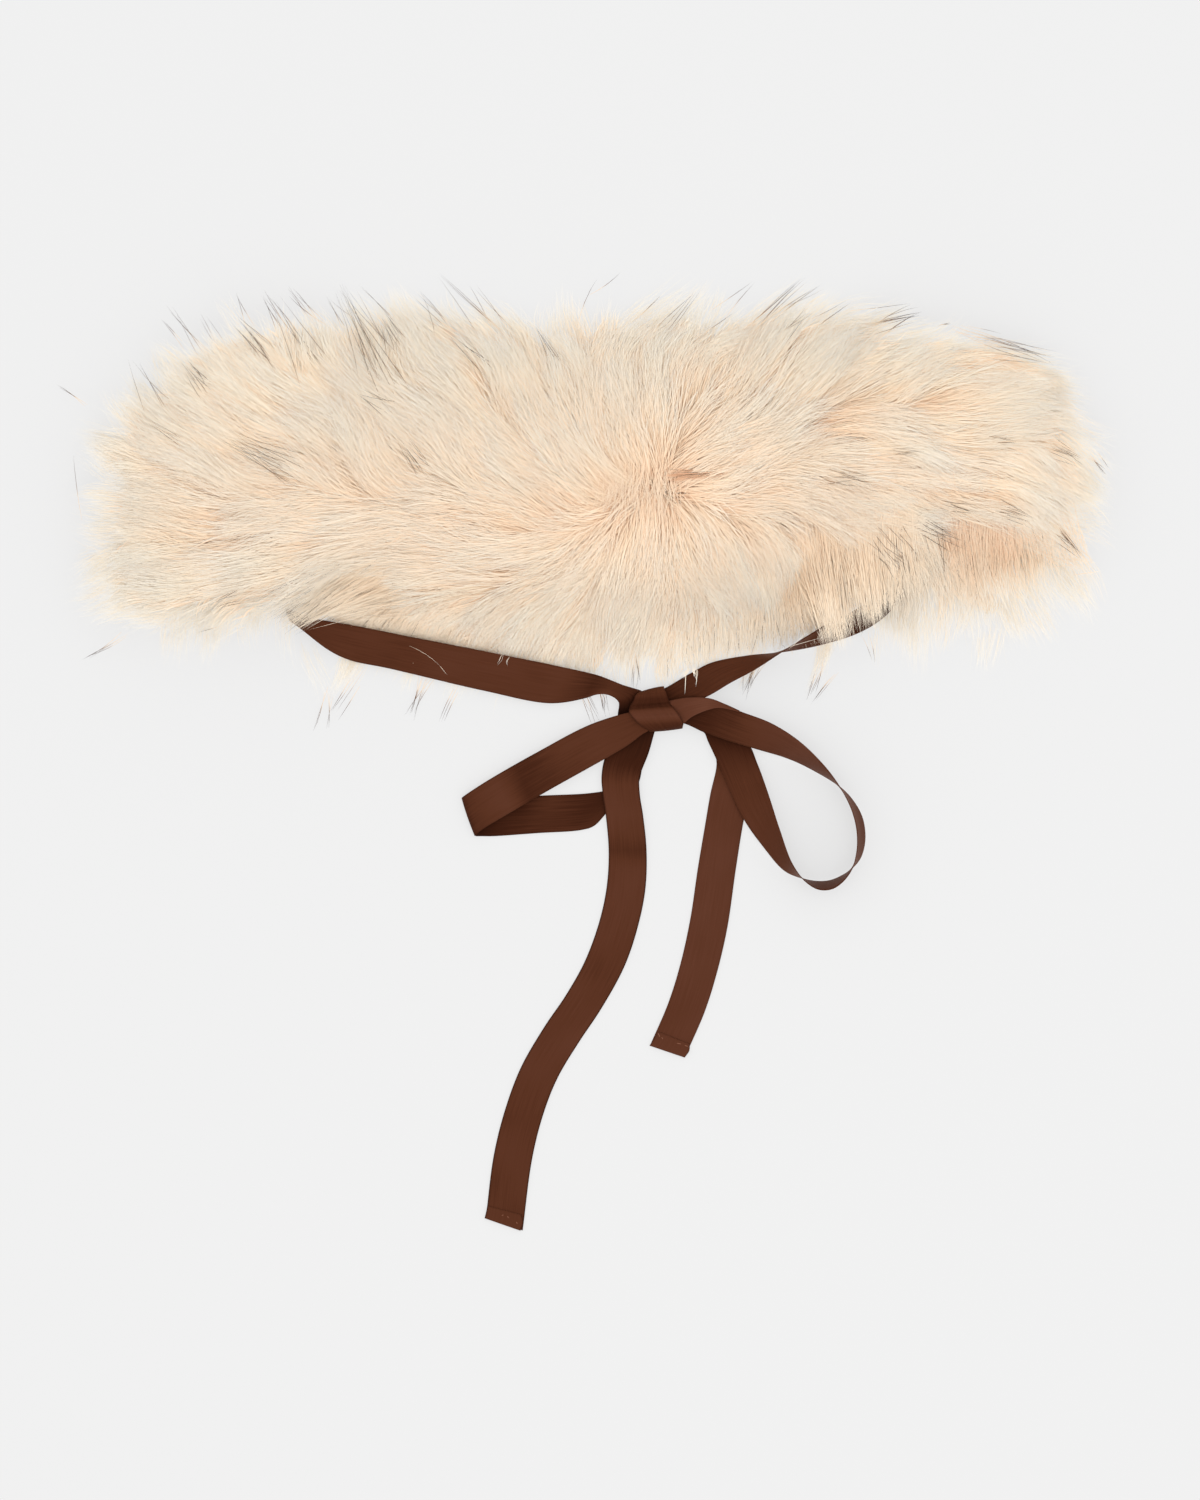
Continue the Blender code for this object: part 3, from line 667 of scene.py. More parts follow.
COATS_BACK = [
    Coat("undercoat", spacing=7.4, length=32.0, overhang=(-16.0, -4.0), inset=(5.0, EVERYWHERE), hairs=13,
         radius=5.5, heights=layered(0.68, 0.84, (0.05, 0.12)), widths=(0.50, 0.80), starts=(0.10, 0.30),
         closing=(0.0, 0.3), shade=0.46),
    Coat("main coat", spacing=9.0, length=60.0, overhang=(-22.0, -2.0), inset=(13.0, EVERYWHERE), hairs=66,
         radius=7.4, heights=shingled(0.12), widths=(0.24, 0.40), starts=(0.0, 0.05)),
    Coat("parting", spacing=6.0, length=40.0, overhang=(-16.0, 2.0), inset=(14.0, EVERYWHERE), hairs=22,
         radius=5.6, heights=surfaced, widths=(0.24, 0.40), starts=(0.10, 0.30), closing=(0.2, 0.6),
         shade=0.38, splay=7.0, near=PARTING),
    Coat("fringe", spacing=5.6, length=44.0, overhang=(-12.0, 13.0), inset=(4.0, 30.0), hairs=18, radius=6.0,
         heights=layered(0.20, 0.75), widths=(0.08, 0.16), starts=(0.50, 0.75), closing=(0.0, 0.4),
         shade=0.05),
    Coat("pale locks on top", spacing=12.5, length=68.0, overhang=(-16.0, 3.0), inset=(12.0, EVERYWHERE),
         hairs=36, radius=3.8, heights=surfaced, widths=(0.20, 0.34), starts=(0.25, 0.50),
         closing=(0.45, 0.85), shade=0.14),
]
COATS_END = [
    Coat("main coat", spacing=7.6, length=46.0, overhang=(-26.0, -2.0), inset=(8.0, EVERYWHERE), hairs=30,
         radius=5.5, heights=shingled(0.2), widths=(0.26, 0.42), starts=(0.15, 0.50), shade=0.26),
    Coat("fringe", spacing=5.6, length=42.0, overhang=(-12.0, 12.0), inset=(3.0, 32.0), hairs=24, radius=6.0,
         heights=layered(0.2, 0.8), widths=(0.08, 0.16), starts=(0.60, 0.92), closing=(0.0, 0.4), shade=0.10),
]
BACK_PIECES = 4  # the back's pile is split from left to right, to keep each piece small

back = forms["fur_back"]
points, widths, rolls, shades, spans = grow_pile(back, COMB_BACK, COATS_BACK, TRIM_BACK,
                                                 np.random.default_rng(11))
order = np.argsort(points[:, 0, 0], kind="stable")
for number, chosen in enumerate(np.array_split(order, BACK_PIECES)):
    strand_piece(f"pile_back_{number + 1}", points[chosen], widths[chosen], rolls[chosen],
                                  shades[chosen], back, spans[chosen])
for side, chart, seed in (("left", COMB_LEFT, 21), ("right", COMB_RIGHT, 22)):
    form = forms[f"fur_end_{side}"]
    points, widths, rolls, shades, spans = grow_pile(form, chart, COATS_END, TRIM_ENDS,
                                                     np.random.default_rng(seed))
    strand_piece(f"pile_end_{side}", points, widths, rolls, shades, form,
                                   spans)

# %% [markdown]
# ## Guard hairs
# The tip-printed guard hairs come up in small groups, most of them along the far edge, where the nape's pile
# is longest. Each row of the table is one group: where its dark stretch ends and where it starts, in the
# frame's pixels, how many hairs there are, and how many millimetres they spread. The direction and the length
# follow from the two places.

# %% Guard hairs
GUARD_GROUPS = [  # tip x, tip y, base x, base y, hairs, spread
    (164, 321, 177, 337, 2, 1), (172, 310, 198, 349, 4, 3), (207, 320, 221, 342, 3, 3),
    (238, 294, 255, 318, 2, 1), (264, 297, 280, 326, 6, 4), (276, 303, 317, 365, 6, 3),
    (292, 293, 312, 312, 6, 3), (326, 301, 343, 326, 3, 2), (339, 287, 393, 383, 13, 3),
    (358, 287, 393, 330, 3, 2), (381, 317, 398, 344, 9, 3), (241, 324, 273, 356, 9, 4),
    (191, 367, 211, 389, 8, 4), (136, 358, 159, 406, 4, 4), (153, 427, 184, 446, 3, 2),
    (230, 436, 301, 473, 12, 5), (60, 386, 80, 398, 2, 1), (74, 456, 82, 489, 1, 1),
    (356, 392, 386, 413, 4, 3), (404, 445, 420, 470, 3, 3), (440, 277, 485, 324, 4, 2),
    (472, 286, 501, 314, 3, 2), (418, 293, 446, 325, 5, 3), (537, 325, 557, 359, 4, 2),
    (407, 447, 427, 472, 6, 3), (597, 280, 579, 307, 1, 1), (619, 273, 604, 293, 1, 1),
    (661, 297, 645, 317, 2, 1), (697, 295, 661, 334, 4, 2), (452, 336, 485, 371, 5, 5),
    (754, 283, 728, 303, 2, 1), (804, 282, 759, 319, 6, 3), (821, 289, 787, 307, 3, 2),
    (848, 302, 819, 320, 3, 2), (807, 312, 787, 335, 4, 3), (734, 315, 711, 329, 1, 1),
    (918, 320, 883, 333, 6, 3), (913, 312, 876, 324, 6, 4), (950, 327, 942, 328, 2, 1),
    (1002, 338, 981, 337, 3, 2), (1047, 359, 995, 345, 12, 4), (915, 454, 892, 454, 6, 4),
    (865, 484, 830, 477, 8, 4), (1010, 446, 990, 442, 4, 3), (1076, 462, 1052, 450, 9, 4),
    (1104, 473, 1095, 461, 5, 2), (954, 550, 921, 531, 14, 7), (1024, 523, 995, 512, 9, 4),
    (969, 512, 944, 507, 6, 4), (1077, 557, 1056, 537, 8, 3), (895, 560, 877.5, 542, 16, 9),
    (909, 582, 889.5, 561, 14, 9), (893, 610, 897, 582, 8, 4), (853, 630, 868, 600, 14, 6),
    (840, 628, 850, 600, 8, 5), (811, 698, 820, 678, 8, 3), (741, 696, 752, 670, 7, 3),
    (874, 661, 871, 643, 2, 2), (410, 717, 420, 690, 7, 3), (443, 720, 449, 698, 3, 3),
    (603, 722, 592, 696, 9, 6), (604, 712, 602, 696, 5, 1), (745, 688, 749, 673, 4, 3),
    (636, 688, 636, 666, 5, 4), (86, 659, 112, 649, 4, 2), (313, 732, 321, 704, 2, 1),
    (328, 730, 330, 705, 3, 1), (335, 716, 350, 693, 4, 3), (202, 631, 215, 627, 1, 1),
    (220, 607, 245, 597, 5, 3), (288, 628, 325, 598, 9, 5), (334, 621, 352, 609, 4, 4),
]
DARK_SHARE = 0.55  # of a guard hair's length, from its tip
GUARD_TURN, GUARD_BEND = 6.5, 11.0  # degrees by which the hairs of a group stray and bend
GUARD_LENGTHS = (0.75, 1.05)
GUARD_LIFT = (0.8, 3.2)  # how far the tips stand off the pile


def pile_top(plan):
    """The height of whichever pile is highest at the places, sinking away beyond the outlines."""
    return np.max([sample(form["top"], plan[..., 0], plan[..., 1]) for form in forms.values()], axis=0)


def guard_strands(groups, rng):
    """The groups as strands that lie just over the pile, or just over the table beyond it."""
    made = []
    for tip_x, tip_y, base_x, base_y, hairs, spread in groups:
        end, base = on_table(tip_x, tip_y), on_table(base_x, base_y)
        direction = round(math.degrees(math.atan2(end[1] - base[1], end[0] - base[0])))
        dark_length = round(math.dist(end, base))
        for _ in range(hairs):
            length = dark_length / DARK_SHARE * rng.uniform(*GUARD_LENGTHS)
            angle = math.radians(direction + rng.normal(0, GUARD_TURN))
            bend = math.radians(rng.normal(0, GUARD_BEND))
            tip = np.round(end) + rng.uniform(-spread, spread, 2)
            line = [tip]
            for k in range(SEGMENTS):
                heading = angle - bend * (k + 0.5) / SEGMENTS
                line.append(line[-1] - length / SEGMENTS * np.array([math.cos(heading), math.sin(heading)]))
            made.append(line[::-1])
    plan = np.array(made)
    lift = rng.uniform(*GUARD_LIFT, (len(plan), 1)) * ALONG
    height = pile_top(plan) * (0.88 + 0.15 * (1 - (1 - ALONG) ** 2)) + lift
    return np.concatenate([plan, np.maximum(height, 0.4)[..., None]], axis=-1)


rng = np.random.default_rng(31)
points = guard_strands(GUARD_GROUPS, rng)
widths, rolls, shades = (rng.uniform(*span, len(points)) for span in ((0.15, 0.26), (-0.5, 0.5), (0.93, 0.97)))
guard_hairs = strand_piece("guard_hairs", points, widths, rolls, shades, back)

# %% [markdown]
# ## Tufts laid one by one
# A groomer finishes by hand, and this pile is finished with tufts given one by one: tufts that fall over the
# ribbons where they come out of the pile, pale ones that pass under them, and the stray hairs that cling to the
# satin. Each row of the first two tables is one tuft: its root and tip in millimetres, how far its middle bows
# sideways, how many hairs, how far they spread at the root and at the tip, their width, and their place in the
# fibre's map. The curtains are given as stations, between which the hairs are blended.

# %% Tufts laid one by one
CREAM_SHADE, GUARD_SHADE = 0.12, 0.95
TUFTS_LEFT = [  # root x, y, z, tip x, y, z, bow, hairs, root spread, tip spread, width, shade
    (-118, 64, 1.6, -131, 37, 0.6, 2, 90, 8, 7, 0.16, CREAM_SHADE),
    (-124, 62, 1.4, -136, 30, 0.6, 1, 30, 7, 4, 0.14, 0.05),
    (-92, 60, 1.5, -97, 33, 0.6, 1, 24, 6, 4, 0.13, 0.05),
    (-80, 56, 1.5, -86, 33, 0.6, 1, 12, 6, 4, 0.13, 0.05),
    (-93.6, 58.2, 11.4, -77.5, 47.6, 9.2, 1, 1, 0, 0, 0.14, 0.6),
    (-78, 48, 9.4, -74, 43, 8.2, 0, 1, 0, 0, 0.14, 0.6),
    (-92, 49, 8.2, -84, 52, 9.4, 3, 1, 0, 0, 0.12, 0.6),
    (-46, 53.5, 11.4, -48, 48, 10.4, 0, 3, 1.5, 1.5, 0.14, 0.1),
    (-41, 52.5, 11.2, -43, 47, 10.2, 0, 2, 1.5, 1.0, 0.14, 0.1),
]
TUFTS_RIGHT = [
    (124, 66, 1.8, 118, 45, 0.6, 1, 70, 5, 4, 0.16, CREAM_SHADE),
    (120, 60, 1.6, 112, 33, 0.6, 1, 16, 4, 3, 0.14, 0.05),
    (86, 60, 1.8, 78, 34, 0.6, 1, 40, 8, 6, 0.13, 0.05),
    (148, 66, 1.6, 149, 47, 0.6, 0, 10, 4, 3, 0.13, 0.05),
    (51, 46, 9.2, 47, 40.5, 9.2, 0, 8, 1.5, 3, 0.24, 0.1),
    (54, 47, 9.4, 55.5, 40.5, 10.4, 0, 8, 1.5, 3, 0.24, 0.1),
    (49.8, 45, 8.8, 49.2, 33, 9.8, 0, 1, 0, 0, 0.3, 0.1),
    (101, 57, 22, 122, 63, 21.8, 0, 1, 0, 0, 0.2, 0.3),
    (103, 56.4, 22, 113.5, 66, 21.8, 0, 1, 0, 0, 0.2, 0.3),
]
CURTAIN_LEFT = [  # root x, y, z, tip x, y, z, lift of the middle, share of hairs kept, map from, map to
    (-97, 86, 24, -123, 72, 18, 1, 1, 0.3, 0.85), (-104, 89, 28, -137, 75.5, 22, 2, 1, 0.25, 0.85),
    (-107, 92, 30, -145, 72.8, 23.5, 3, 1, 0.25, 0.85), (-110, 94, 30, -150.5, 68.6, 24, 3, 1, 0.25, 0.85),
    (-113, 95, 30, -155, 68, 24.5, 3, 0.5, 0.25, 0.85), (-117, 97, 30, -160, 69.5, 25, 3, 0.9, 0.25, 0.9),
    (-124, 100, 30, -169, 73, 25, 3, 1, 0.25, 1), (-130, 104, 30, -178, 81, 25, 3, 1, 0.25, 1),
]
UNDER_TIE_LEFT = [  # hair that passes under the left tie's upper selvedge
    (-36, 70, 12, -40, 48.5, 4, 0, 0.7, 0.3, 0.85), (-50, 74, 14, -58, 52, 4.5, 0, 1, 0.3, 0.85),
    (-66, 78, 16, -76, 56, 6, 0, 1, 0.3, 0.85), (-84, 82, 18, -96, 60.5, 8, 0, 1, 0.3, 0.85),
    (-97, 86, 22, -114, 64, 9, 0, 1, 0.3, 0.85), (-104, 88, 24, -130, 68, 10, 0, 1, 0.3, 0.85),
    (-108, 90, 26, -139, 70, 11, 0, 1, 0.3, 0.85),
]
CURTAIN_RIGHT = [
    (36, 60, 8, 34, 37, 2.5, 0, 0.5, 0.5, 1), (50, 64, 9, 50, 43, 2.8, 0, 0.8, 0.5, 1),
    (66, 68, 10, 66, 50, 2.8, 0, 1, 0.4, 1), (82, 74, 12, 82, 53.5, 2.8, 0, 1, 0.4, 1),
    (98, 80, 14, 99, 57.5, 3, 0, 1, 0.3, 1), (108, 90, 18, 112, 60, 6, 2, 1, 0.15, 0.9),
    (113, 94, 20, 120, 62, 9, 3, 1, 0.15, 0.9), (116, 97, 22, 124.5, 58, 19, 5, 1, 0.15, 0.9),
    (124, 100, 22, 131, 58.5, 18.5, 5, 1, 0.15, 0.9), (128, 102, 22, 134.5, 62, 18.5, 5, 0.25, 0.15, 0.9),
    (136, 104, 22, 143, 67, 18.5, 5, 0.25, 0.15, 0.9), (140, 107, 22, 147, 68, 19, 5, 1, 0.15, 0.9),
    (145, 110, 22, 151.5, 71.5, 19, 5, 1, 0.15, 0.9), (149, 112, 22, 153.2, 79, 20, 4, 0.15, 0.15, 0.9),
    (151, 114, 22, 155.5, 81, 21, 4, 0.15, 0.15, 0.9), (153, 116, 22, 157.5, 73, 21, 3, 1, 0.15, 0.9),
    (158, 120, 22, 165, 79, 21.5, 3, 1, 0.15, 0.9), (163, 123, 22, 172, 85, 22, 3, 1, 0.15, 0.9),
    (168, 124, 22, 180, 93, 22, 2, 1, 0.15, 0.9), (172, 124, 22, 184, 97, 22, 2, 1, 0.15, 0.9),
]
RIM_RIGHT = [  # the same, lying on the pile, so that the heights and the lift aren't used
    (168, 116, 0, 178, 90, 0, 0, 0.7, 0.25, 0.9), (182, 118, 0, 190, 92, 0, 0, 1, 0.10, 0.8),
    (192, 119, 0, 197, 92, 0, 0, 1, 0.0, 0.7), (200, 122, 0, 204, 92, 0, 0, 0.8, 0.2, 0.8),
    (208, 124, 0, 210, 94, 0, 0, 1, 0.0, 0.6), (218, 124, 0, 221, 94, 0, 0, 1, 0.0, 0.7),
    (230, 122, 0, 237, 96, 0, 0, 0.7, 0.2, 0.9), (244, 118, 0, 252, 98, 0, 0, 0.5, 0.4, 1),
    (252, 114, 0, 262, 99, 0, 0, 0.4, 0.5, 1),
]
CROWN_STREAK = [  # peach roots and a few dark hairs that show in a streak right of the crown
    (62, 147.3, 0, 42, 145.6, 0, 0, 1, 0.0, 0.10), (60, 146.0, 0, 39, 144.6, 0, 0, 1, 0.0, 0.10),
]
CROWN_CAP = [  # pale hair that falls over the middle of the crown
    (12, 150, 0, 3, 130, 0, 0, 0.6, 0.10, 0.8), (20, 153, 0, 14, 127, 0, 0, 1, 0.10, 0.8),
    (27, 153, 0, 24, 126, 0, 0, 1, 0.10, 0.8), (34, 152, 0, 34, 126, 0, 0, 1, 0.10, 0.8),
    (41, 149, 0, 45, 128, 0, 0, 0.7, 0.10, 0.8),
]
RIM_OVER_TIE = [  # pale hair down to the right tie's upper selvedge
    (114, 97, 22, 121, 67, 20, 2, 1, 0.15, 0.8), (124, 101, 22, 133, 74, 20, 2, 1, 0.15, 0.8),
    (136, 106, 22, 145, 80.5, 20, 2, 1, 0.15, 0.8), (146, 112, 22, 152, 87, 21, 2, 1, 0.15, 0.8),
]
CURTAINS = {  # what each side has, in the order in which it is hung
    "left": [
        {"stations": CURTAIN_LEFT, "hairs": 1700, "guards": 0.05, "loose": (2.5, 5.0, 1.5)},
        {"stations": UNDER_TIE_LEFT, "hairs": 1300, "guards": 0.01, "loose": (3.0, 4.0, 1.0),
         "reach": (0.9, 1.1), "over_share": 0},
    ],
    "right": [
        {"stations": CURTAIN_RIGHT, "hairs": 4200, "guards": 0.03},
        {"stations": RIM_RIGHT, "hairs": 1500, "guards": 0.02, "shade": 0.68, "on_pile": True,
         "reach": (0.4, 1.35)},
        {"stations": CROWN_CAP, "hairs": 320, "guards": 0.0, "shade": 0.45, "on_pile": True,
         "loose": (5.0, 3.0, 0.0), "reach": (0.7, 1.3)},
        {"stations": CROWN_STREAK, "hairs": 90, "guards": 0.22, "shade": 0.6, "on_pile": True,
         "loose": (4.0, 0.4, 0.0)},
        {"stations": RIM_OVER_TIE, "hairs": 700, "guards": 0.02, "reach": (0.92, 1.12)},
    ],
}
CLUMPS = 3  # hairs gather in thirds of a station
TIP_LOOSE = (1.5, 2.0, 0.5)
CURTAIN_BOW = 1.6
GUARD_WIDTHS, PALE_WIDTHS = (0.14, 0.22), (0.16, 0.34)
CURTAIN_TONE = 0.10


def hand_tufts(rows, rng):
    """The rows as strands, their widths and their places across the fibre's map."""
    lines, widths, shades = [], [], []
    for x0, y0, z0, x1, y1, z1, bow, hairs, spread0, spread1, width, shade in rows:
        root, tip = np.array([x0, y0, z0], float), np.array([x1, y1, z1], float)
        sideways = np.array([y0 - y1, x1 - x0, 0.0]) / math.hypot(x1 - x0, y1 - y0)
        for _ in range(hairs):
            a = root + np.array([*rng.normal(0, spread0 / 2 + 1e-6, 2), 0])
            b = tip + np.array([*rng.normal(0, spread1 / 2 + 1e-6, 2), 0])
            b = a + (b - a) * rng.uniform(0.8, 1.08) if hairs > 1 else b
            arch = (bow + rng.normal(0, 0.8 if hairs > 1 else 0.0)) * ARCH
            line = a + (b - a) * ALONG[:, None] + sideways * arch[:, None]
            line[:, 2] = z0 + (z1 - z0) * ALONG**1.6 + (rng.uniform(0, 1.2) if hairs > 1 else 0.0)
            lines.append(line)
            widths.append(width * rng.uniform(0.75, 1.25))
            shades.append(np.clip(shade + rng.normal(0, 0.06), 0, 0.8) if shade < GUARD_FROM else shade)
    return np.array(lines), np.array(widths), np.array(shades)


def curtain(stations, hairs, guards, rng, shade=0.28, on_pile=False, loose=(2.5, 8.0, 1.5), reach=(0.78, 1.06),
            over_share=0.5):
    """Hairs that hang from the pile's rim, blended between the stations: strands, widths, shades, map parts.
    guards is the share of dark hairs. loose is how far the roots stray, in x, y and z, reach how long the
    hairs are, as shares, and over_share how many of them come from further up, over the pile."""
    rows = np.array(stations, float)
    place = rng.uniform(0, len(rows) - 1, hairs)
    clump = np.round(place * CLUMPS) / CLUMPS

    def at(share):
        before = np.minimum(share.astype(int), len(rows) - 2)
        return rows[before] + (rows[before + 1] - rows[before]) * (share - before)[:, None]

    row, tuft = at(place), at(clump)
    keep = rng.random(hairs) < row[:, 7]
    row, tuft = row[keep], tuft[keep]
    count = len(row)
    root = row[:, :3] + rng.normal(0, 1, (count, 3)) * loose
    over = rng.random(count) < over_share
    root[over, :2] += (root[over, :2] - row[over, 3:5]) * rng.uniform(0.2, 0.7, (over.sum(), 1))
    root[:, 2] = np.minimum(root[:, 2], 0.8 * pile_top(root[:, :2]))
    tip = row[:, 3:6] * 0.5 + tuft[:, 3:6] * 0.5 + rng.normal(0, 1, (count, 3)) * TIP_LOOSE
    tip = root + (tip - root) * rng.uniform(*reach, count)[:, None]
    lines = root[:, None] + (tip - root)[:, None] * ALONG[:, None]
    lines[..., 0] += rng.normal(0, CURTAIN_BOW, (count, 1)) * ARCH
    if on_pile:
        rise = rng.uniform(0.2, 1.4, (count, 1))
        lines[..., 2] = pile_top(lines[..., :2]) * (0.9 + 0.1 * ALONG) + rise * ALONG
    else:
        lines[..., 2] += row[:, 6:7] * ARCH
        rise = rng.uniform(0, 0.8, (count, 1))
        resting = pile_top(lines[..., :2]) * (0.85 + 0.16 * ALONG**0.5) + rise * ALONG
        lines[..., 2] = np.where(over[:, None], np.maximum(lines[..., 2], resting), lines[..., 2])
    lines[..., 2] = np.maximum(lines[..., 2], 0.4)
    dark = rng.random(count) < guards
    widths = np.where(dark, rng.uniform(*GUARD_WIDTHS, count), rng.uniform(*PALE_WIDTHS, count))
    shades = np.where(dark, GUARD_SHADE, np.clip(rng.normal(shade, CURTAIN_TONE, count), 0, PEACHIEST))
    spans = np.stack([row[:, 8] + rng.uniform(0, 0.15, count), row[:, 9]], axis=-1)
    return lines, widths, shades, np.where(dark[:, None], WHOLE_MAP, spans)


rng = np.random.default_rng(41)
for side, rows in (("left", TUFTS_LEFT), ("right", TUFTS_RIGHT)):
    laid = hand_tufts(rows, rng)
    pale = np.where((laid[2] < GUARD_FROM)[:, None], map_spans(len(laid[0]), 0.55, 0.8, rng), WHOLE_MAP)
    hung = [(*laid, pale), *(curtain(rng=rng, **hanging) for hanging in CURTAINS[side])]
    points, widths, shades, spans = (np.concatenate(parts) for parts in zip(*hung))
    strand_piece(f"tufts_{side}", points, widths, rng.uniform(-ROLL, ROLL, len(points)), shades,
                               back, spans)

# %% [markdown]
# ## The knitted backing
# Under the hair is the cloth that is cut: a tricot of polyester, 150 mm wide. It hardly shows, yet where the
# pile parts its warm tone closes the gaps. Each piece is one arched sheet, modelled as a patch of points from
# edge to edge with a wall of 1.2 mm.

# %% Backing material
KNIT_PITCH = 1.0  # millimetres between wales

backing, tree, shader = start_material("polyester_tricot_backing")
coordinates = add_node(tree, "ShaderNodeTexCoord")
wales = add_node(tree, "ShaderNodeTexWave", {"Vector": coordinates.outputs["Object"],
                                             "Scale": math.tau / 20 / (KNIT_PITCH * MM), "Distortion": 1.5})
knit = add_node(tree, "ShaderNodeMix", {"Factor": wales.outputs["Fac"], "A": linear("D8AE8C"),
                                        "B": linear("E6C4A4")}, data_type="RGBA")
relief = add_node(tree, "ShaderNodeBump", {"Height": wales.outputs["Fac"], "Strength": 0.4,
                                           "Distance": 0.3 * MM})
fill_inputs(tree, shader, {"Base Color": knit.outputs["Result"], "Normal": relief.outputs["Normal"],
                           "Roughness": 0.85, "Specular IOR Level": 0.2})

# %% Backing sheets
BACKING_WALL = 1.2
BACKING_INSET = 20.0  # how far its edge stays inside the pile's
END_INSET = 37.0  # the same under the folded ends, whose front rim has only thin pile over it
RINGS, SPOKES = 12, 96
SQUARENESS = 0.7  # 1 would make the sheet's plan an ellipse, and less makes it squarer


def backing_sheet(name, middle, half_length, half_width, share, form, inset, nodes):
    """An arched sheet at a share of the pile's height, drawn in where the pile's outline comes near."""
    turns = np.arange(SPOKES) * math.tau / SPOKES
    away = np.stack([reach * np.sign(axis) * np.abs(axis) ** SQUARENESS
                     for reach, axis in ((half_length, np.cos(turns)), (half_width, np.sin(turns)))], axis=-1)
    steps = np.linspace(0.05, 1.0, 60)
    probe = np.array(middle) + steps[:, None, None] * away
    clear = sample(form["edge"], probe[..., 0], probe[..., 1]) > inset
    reach = steps[np.argmin(np.vstack([clear, np.zeros(SPOKES, bool)]), axis=0).clip(1, len(steps)) - 1]
    points = [np.array(middle)]
    for ring in range(1, RINGS + 1):
        points.extend(np.array(middle) + away * reach[:, None] * ring / RINGS)
    points = np.array(points)
    radius = np.concatenate([[0.0], np.repeat(np.arange(1, RINGS + 1) / RINGS, SPOKES)])
    top = sample(form["top"], points[:, 0], points[:, 1])
    low = sample(form["low"], points[:, 0], points[:, 1])
    points = np.column_stack([points, low + BACKING_WALL + (top - low) * share * (1 - radius**4)])
    faces = [(0, 1 + s, 1 + (s + 1) % SPOKES) for s in range(SPOKES)]
    for ring in range(RINGS - 1):
        a = 1 + ring * SPOKES
        faces += [(a + s, a + SPOKES + s, a + SPOKES + (s + 1) % SPOKES, a + (s + 1) % SPOKES)
                  for s in range(SPOKES)]
    piece = add_mesh(name, points, faces, backing)
    wall = piece.modifiers.new("wall", "SOLIDIFY")
    wall.thickness = BACKING_WALL * MM
    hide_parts(*nodes)
    return piece


backing_back = backing_sheet("backing_back", (0.0, 138.0), 225.0, 60.0, 0.50, back,
                             BACKING_INSET, ["fur_back"])
backing_left = backing_sheet("backing_end_left", (-198.0, 141.0), 26.0, 46.0, 0.12, forms["fur_end_left"],
                             END_INSET, ["fur_end_left"])
backing_right = backing_sheet("backing_end_right", (203.0, 142.0), 26.0, 40.0, 0.12, forms["fur_end_right"],
                              END_INSET, ["fur_end_right"])

# %% [markdown]
# ## Satin ribbon
# Double-faced satin, woven from polyester filament 20 mm wide and about 0.35 mm thick. Long floats of warp run
# along it, which makes its sheen: the gloss is stretched across the ribbon, so it changes with every bend.
# Most of that light and dark is painted in: each strip has a map, called "lie", of how light the satin looks
# in each place, and the base colour follows it, from painted shade through the satin's own brown to painted
# highlight, with broad bands of painted sheen along the strip. The floats, about 0.25 mm apart, are drawn
# 0.5 mm apart so that they show.

# %% Satin material
RIBBON_WIDTH = 20.0
SELVEDGE = (9.0, 9.8)  # how far from the middle line the dark border starts, and where it is full
# The satin's own brown in the middle, painted shade below it and painted highlight above it.
SATIN_COLOUR_AND_PAINTED_LIGHT = [(0.0, "22100A"), (0.25, "371B10"), (0.5, "4F2C1D"), (0.75, "573325"), (1.0, "653F30")]
SATIN_SELVEDGE = "2C160E"

satin, tree, shader = start_material("double_faced_polyester_satin")
strip_map = add_node(tree, "ShaderNodeUVMap", uv_map="weave")
stretched = add_node(tree, "ShaderNodeMapping", {"Vector": strip_map.outputs["UV"],
                                                 "Scale": (1.0, 0.02, 1.0)})
floats = add_node(tree, "ShaderNodeTexNoise", {"Vector": stretched.outputs["Vector"], "Scale": 2000.0,
                                              "Detail": 2.0})
# Broad bands of painted sheen along the strip, added to the real streaks of the floats.
painted_sheen_bands = add_node(tree, "ShaderNodeTexNoise", {"Vector": strip_map.outputs["UV"], "Scale": 32.0,
                                              "Detail": 1.0})
floats_and_painted_sheen = add_node(tree, "ShaderNodeMath", {0: floats.outputs["Fac"], 1: painted_sheen_bands.outputs["Fac"]},
                  operation="ADD")
spread = add_node(tree, "ShaderNodeMapRange", {"Value": floats_and_painted_sheen.outputs["Value"], "From Min": 0.8,
                                               "From Max": 1.2, "To Min": -0.07, "To Max": 0.07})
lie_map = add_node(tree, "ShaderNodeUVMap", uv_map="lie")
lie = add_node(tree, "ShaderNodeSeparateXYZ", {"Vector": lie_map.outputs["UV"]})
lying = add_node(tree, "ShaderNodeMath", {0: lie.outputs["X"], 1: spread.outputs["Result"]}, operation="ADD")
